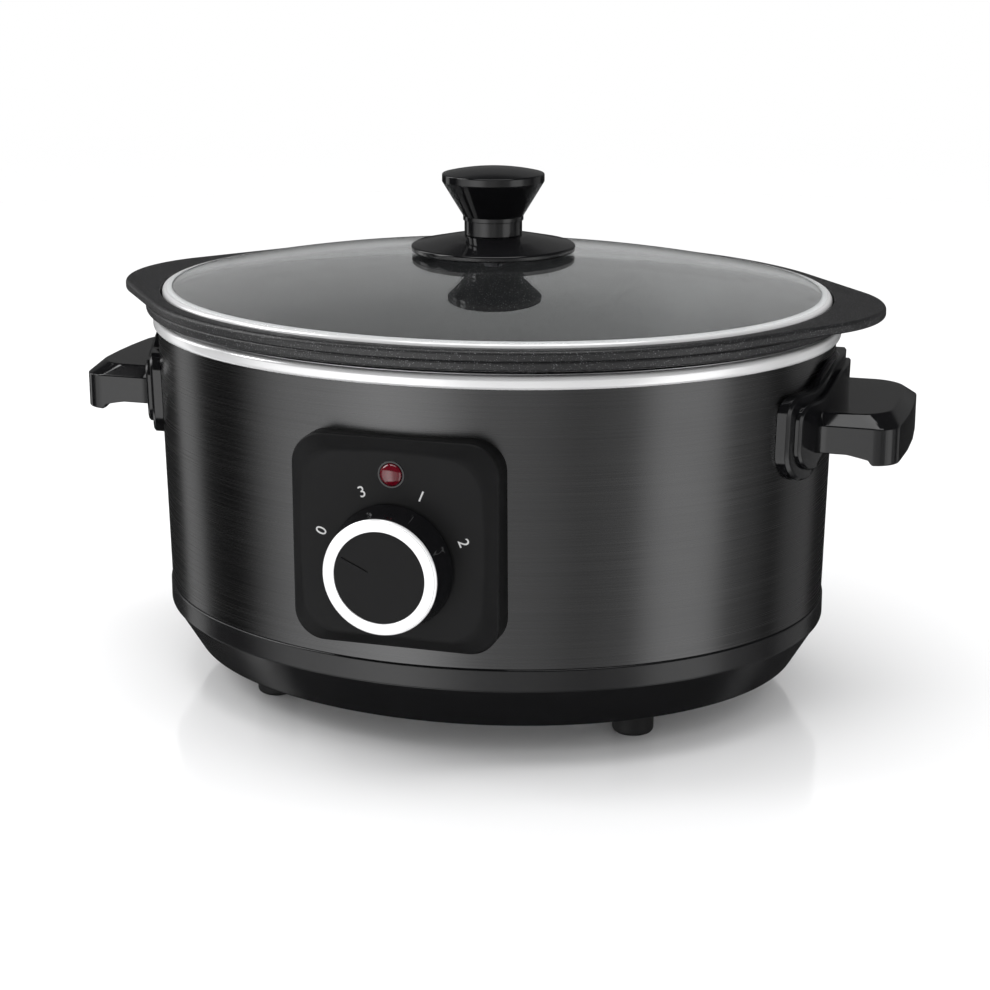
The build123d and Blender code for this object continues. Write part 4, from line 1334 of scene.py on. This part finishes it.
@dataclass
class Studio:
    """White surroundings, reflected panels, soft lamps, the pale floor and the camera."""

    azimuth: float = 16.81
    elevation: float = 14.32
    distance: float = 995.1
    aim_height: float = 110.0
    lens: float = 78.4
    shift: tuple[float, float] = (0.0017, -0.0600)
    ambient: float = 0.95
    backdrop: float = 1.0
    dim: float = 0.028             # surroundings between the panels, in reflections
    edge: float = 8.0              # soft upper and lower edge of a panel, degrees
    floor_radius: float = 2600.0
    floor_drop: float = 0.02       # floor below the feet
    floor_fade: tuple[float, float] = (780.0, 2340.0)      # where the floor starts and ends fading out
    veil_lift: float = 0.01        # veil over the floor
    panels: tuple[Panel, ...] = (
        Panel(-36, 8, 34, -45, 5, 1.20),
        Panel(-5, 10, 32, -45, 5, 0.65),
        Panel(71, 3, 18, -45, 5, 0.95),
        Panel(66, 10, 45, -45, 5, 0.45),
        Panel(-108, 3, 8, -45, 5, 0.70),
        Panel(134, 4, 16, -45, 5, 0.27),
        Panel(197, 60, 40, 5, 24, 0.10),
        Panel(-100, 7, 5, 8, 40, 2.0),
    )

    def world(self) -> None:
        """Surroundings: white to the eye, even light on matt surfaces, and panels in reflections.

        A panel's share is a smooth step of the cosine between the level direction and its azimuth, times
        one smooth step of the height at its lower and one at its upper edge. The floor's own reflections
        have passed the veil over it, and see white.
        """
        world = bpy.data.worlds.new("studio")
        bpy.context.scene.world = world
        world.use_nodes = True
        world.cycles.sampling_method = "NONE"
        tree = world.node_tree
        tree.nodes.clear()
        link = tree.links.new

        def node(kind: str, **settings: object) -> bpy.types.Node:
            """Add a node with its settings."""
            made = tree.nodes.new(kind)
            for setting, value in settings.items():
                setattr(made, setting, value)
            return made

        def maths(operation: str, first: Socket | float, second: Socket | float) -> Socket:
            """One sum of two values."""
            made = node("ShaderNodeMath", operation=operation)
            for socket, value in zip(made.inputs, (first, second)):
                if isinstance(value, Socket):
                    link(value, socket)
                else:
                    socket.default_value = value
            return made.outputs[0]

        def step(value: Socket, start: float, end: float) -> Socket:
            """Smooth step from 0 at start to 1 at end."""
            made = node("ShaderNodeMapRange", interpolation_type="SMOOTHSTEP")
            link(value, made.inputs["Value"])
            made.inputs["From Min"].default_value = min(start, end)
            made.inputs["From Max"].default_value = max(start, end)
            made.inputs["To Min"].default_value = float(start > end)
            made.inputs["To Max"].default_value = float(start < end)
            return made.outputs["Result"]

        way = node("ShaderNodeTexCoord").outputs["Generated"]
        height = node("ShaderNodeSeparateXYZ")
        link(way, height.inputs[0])
        level = node("ShaderNodeVectorMath", operation="MULTIPLY")
        link(way, level.inputs[0])
        level.inputs[1].default_value = (1, 1, 0)
        unit = node("ShaderNodeVectorMath", operation="NORMALIZE")
        link(level.outputs[0], unit.inputs[0])
        total: Socket | float = self.dim
        for panel in self.panels:
            facing = node("ShaderNodeVectorMath", operation="DOT_PRODUCT")
            link(unit.outputs[0], facing.inputs[0])
            angle = radians(panel.azimuth)
            facing.inputs[1].default_value = (sin(angle), -cos(angle), 0)
            across = step(facing.outputs["Value"], cos(radians(panel.spread + panel.fade)),
                          cos(radians(panel.spread)))
            above = step(height.outputs[2], sin(radians(panel.low - self.edge)), sin(radians(panel.low)))
            below = step(height.outputs[2], sin(radians(panel.high + self.edge)), sin(radians(panel.high)))
            shape = maths("MULTIPLY", maths("MULTIPLY", across, above), below)
            total = maths("ADD", maths("MULTIPLY", shape, panel.strength), total)
        path = node("ShaderNodeLightPath")
        shallow = maths("LESS_THAN", path.outputs["Transmission Depth"], 2.5)
        through = maths("MULTIPLY", path.outputs["Is Transmission Ray"], shallow)
        veiled = maths("MULTIPLY", path.outputs["Is Glossy Ray"],
                       maths("GREATER_THAN", path.outputs["Transparent Depth"], 1.5))
        seen = maths("MAXIMUM", maths("MAXIMUM", path.outputs["Is Camera Ray"], through), veiled)
        glossy = node("ShaderNodeMix", data_type="FLOAT")
        link(path.outputs["Is Glossy Ray"], glossy.inputs[0])
        glossy.inputs[2].default_value = self.ambient
        link(total, glossy.inputs[3])
        shown = node("ShaderNodeMix", data_type="FLOAT")
        link(seen, shown.inputs[0])
        link(glossy.outputs[0], shown.inputs[2])
        shown.inputs[3].default_value = self.backdrop
        background = node("ShaderNodeBackground")
        background.inputs["Color"].default_value = (1, 1, 1, 1)
        link(shown.outputs[0], background.inputs["Strength"])
        link(background.outputs[0], node("ShaderNodeOutputWorld").inputs["Surface"])

    def lamp(self, name: str, azimuth: float, elevation: float, distance: float, size: tuple[float, float],
             power: float) -> None:
        """Soft rectangular lamp aimed at the cooker.

        Args:
            name: the lamp's name.
            azimuth: bearing in degrees, 0 in front of the controls.
            elevation: height in degrees.
            distance: distance in metres.
            size: width and height in metres.
            power: power in watts.
        """
        data = bpy.data.lights.new(name, "AREA")
        data.shape = "RECTANGLE"
        data.size, data.size_y = size
        data.energy = power
        lamp = bpy.data.objects.new(name, data)
        bpy.context.scene.collection.objects.link(lamp)
        self.stand(lamp, azimuth, elevation, distance)

    def stand(self, piece: bpy.types.Object, azimuth: float, elevation: float, distance: float) -> None:
        """Put a lamp or the camera on its bearing, looking at the aim point.

        Args:
            piece: the lamp or camera.
            azimuth: bearing in degrees, 0 in front of the controls.
            elevation: height in degrees.
            distance: distance in metres.
        """
        turn, lift = radians(azimuth), radians(elevation)
        way = Vector((sin(turn) * cos(lift), -cos(turn) * cos(lift), sin(lift)))
        piece.location = Vector((0, OVAL_Y, self.aim_height)) * MM + way * distance
        piece.rotation_euler = (-way).to_track_quat("-Z", "Y").to_euler()

    def floor(self) -> None:
        """Pale glossy floor, a flat disc that fades out, under a clear veil that marks its reflections."""
        radii = np.linspace(1, 0.02, 12) * self.floor_radius
        centre = np.array((0, OVAL_Y, -self.floor_drop))
        rows = turned_rows(np.stack((radii, 0 * radii), axis=1), centre, columns=96)
        floor = Solid().add(rows, high=centre).build("floor")
        paint = Paint("pale_floor", Base_Color=(0.97, 0.97, 0.975, 1), Roughness=0.10, IOR=1.45)
        paint.wire(Normal=paint.relief(paint.noise(3, detail=1), 0.05))
        away = paint.node("ShaderNodeVectorMath", {0: paint.place}, operation="LENGTH").outputs["Value"]
        start, end = self.floor_fade
        paint.wire(Alpha=paint.level(away, 1, 0, start * MM, end * MM))
        floor.data.materials.append(paint.material)
        floor.visible_glossy = False
        lift = np.array((0, 0, self.veil_lift))
        veil = Solid().add(rows + lift, high=centre + lift).build("veil")
        sheet = Paint("clear_veil", Alpha=0.0)
        veil.data.materials.append(sheet.material)
        veil.visible_shadow = False

    def camera(self) -> None:
        """Camera on the object's viewing angle."""
        data = bpy.data.cameras.new("camera")
        data.lens, data.sensor_width = self.lens, 36.0
        data.shift_x, data.shift_y = self.shift
        camera = bpy.data.objects.new("camera", data)
        bpy.context.scene.collection.objects.link(camera)
        self.stand(camera, self.azimuth, self.elevation, self.distance * MM)
        bpy.context.scene.camera = camera

    def build(self) -> None:
        """Light the scene and set the camera."""
        self.world()
        self.lamp("overhead", 20, 82, 1.6, (1.3, 0.9), 9.0)
        self.lamp("key", -70, 38, 1.5, (0.35, 0.9), 6.0)
        self.floor()
        self.camera()
        bpy.context.scene.view_settings.view_transform = "Standard"
        bpy.context.scene.view_settings.look = "None"


# ---------------------------------------------------------------- all of it
def main() -> None:
    """Build every sub-assembly round the frame."""
    logging.basicConfig(level=logging.INFO, format="%(message)s")
    for part in (Base(), Body(), Controls(), Handle(1), Handle(-1), Pot(), Lid(), Studio()):
        part.build()
    dress("handle_screws")


if __name__ == "__main__":
    main()
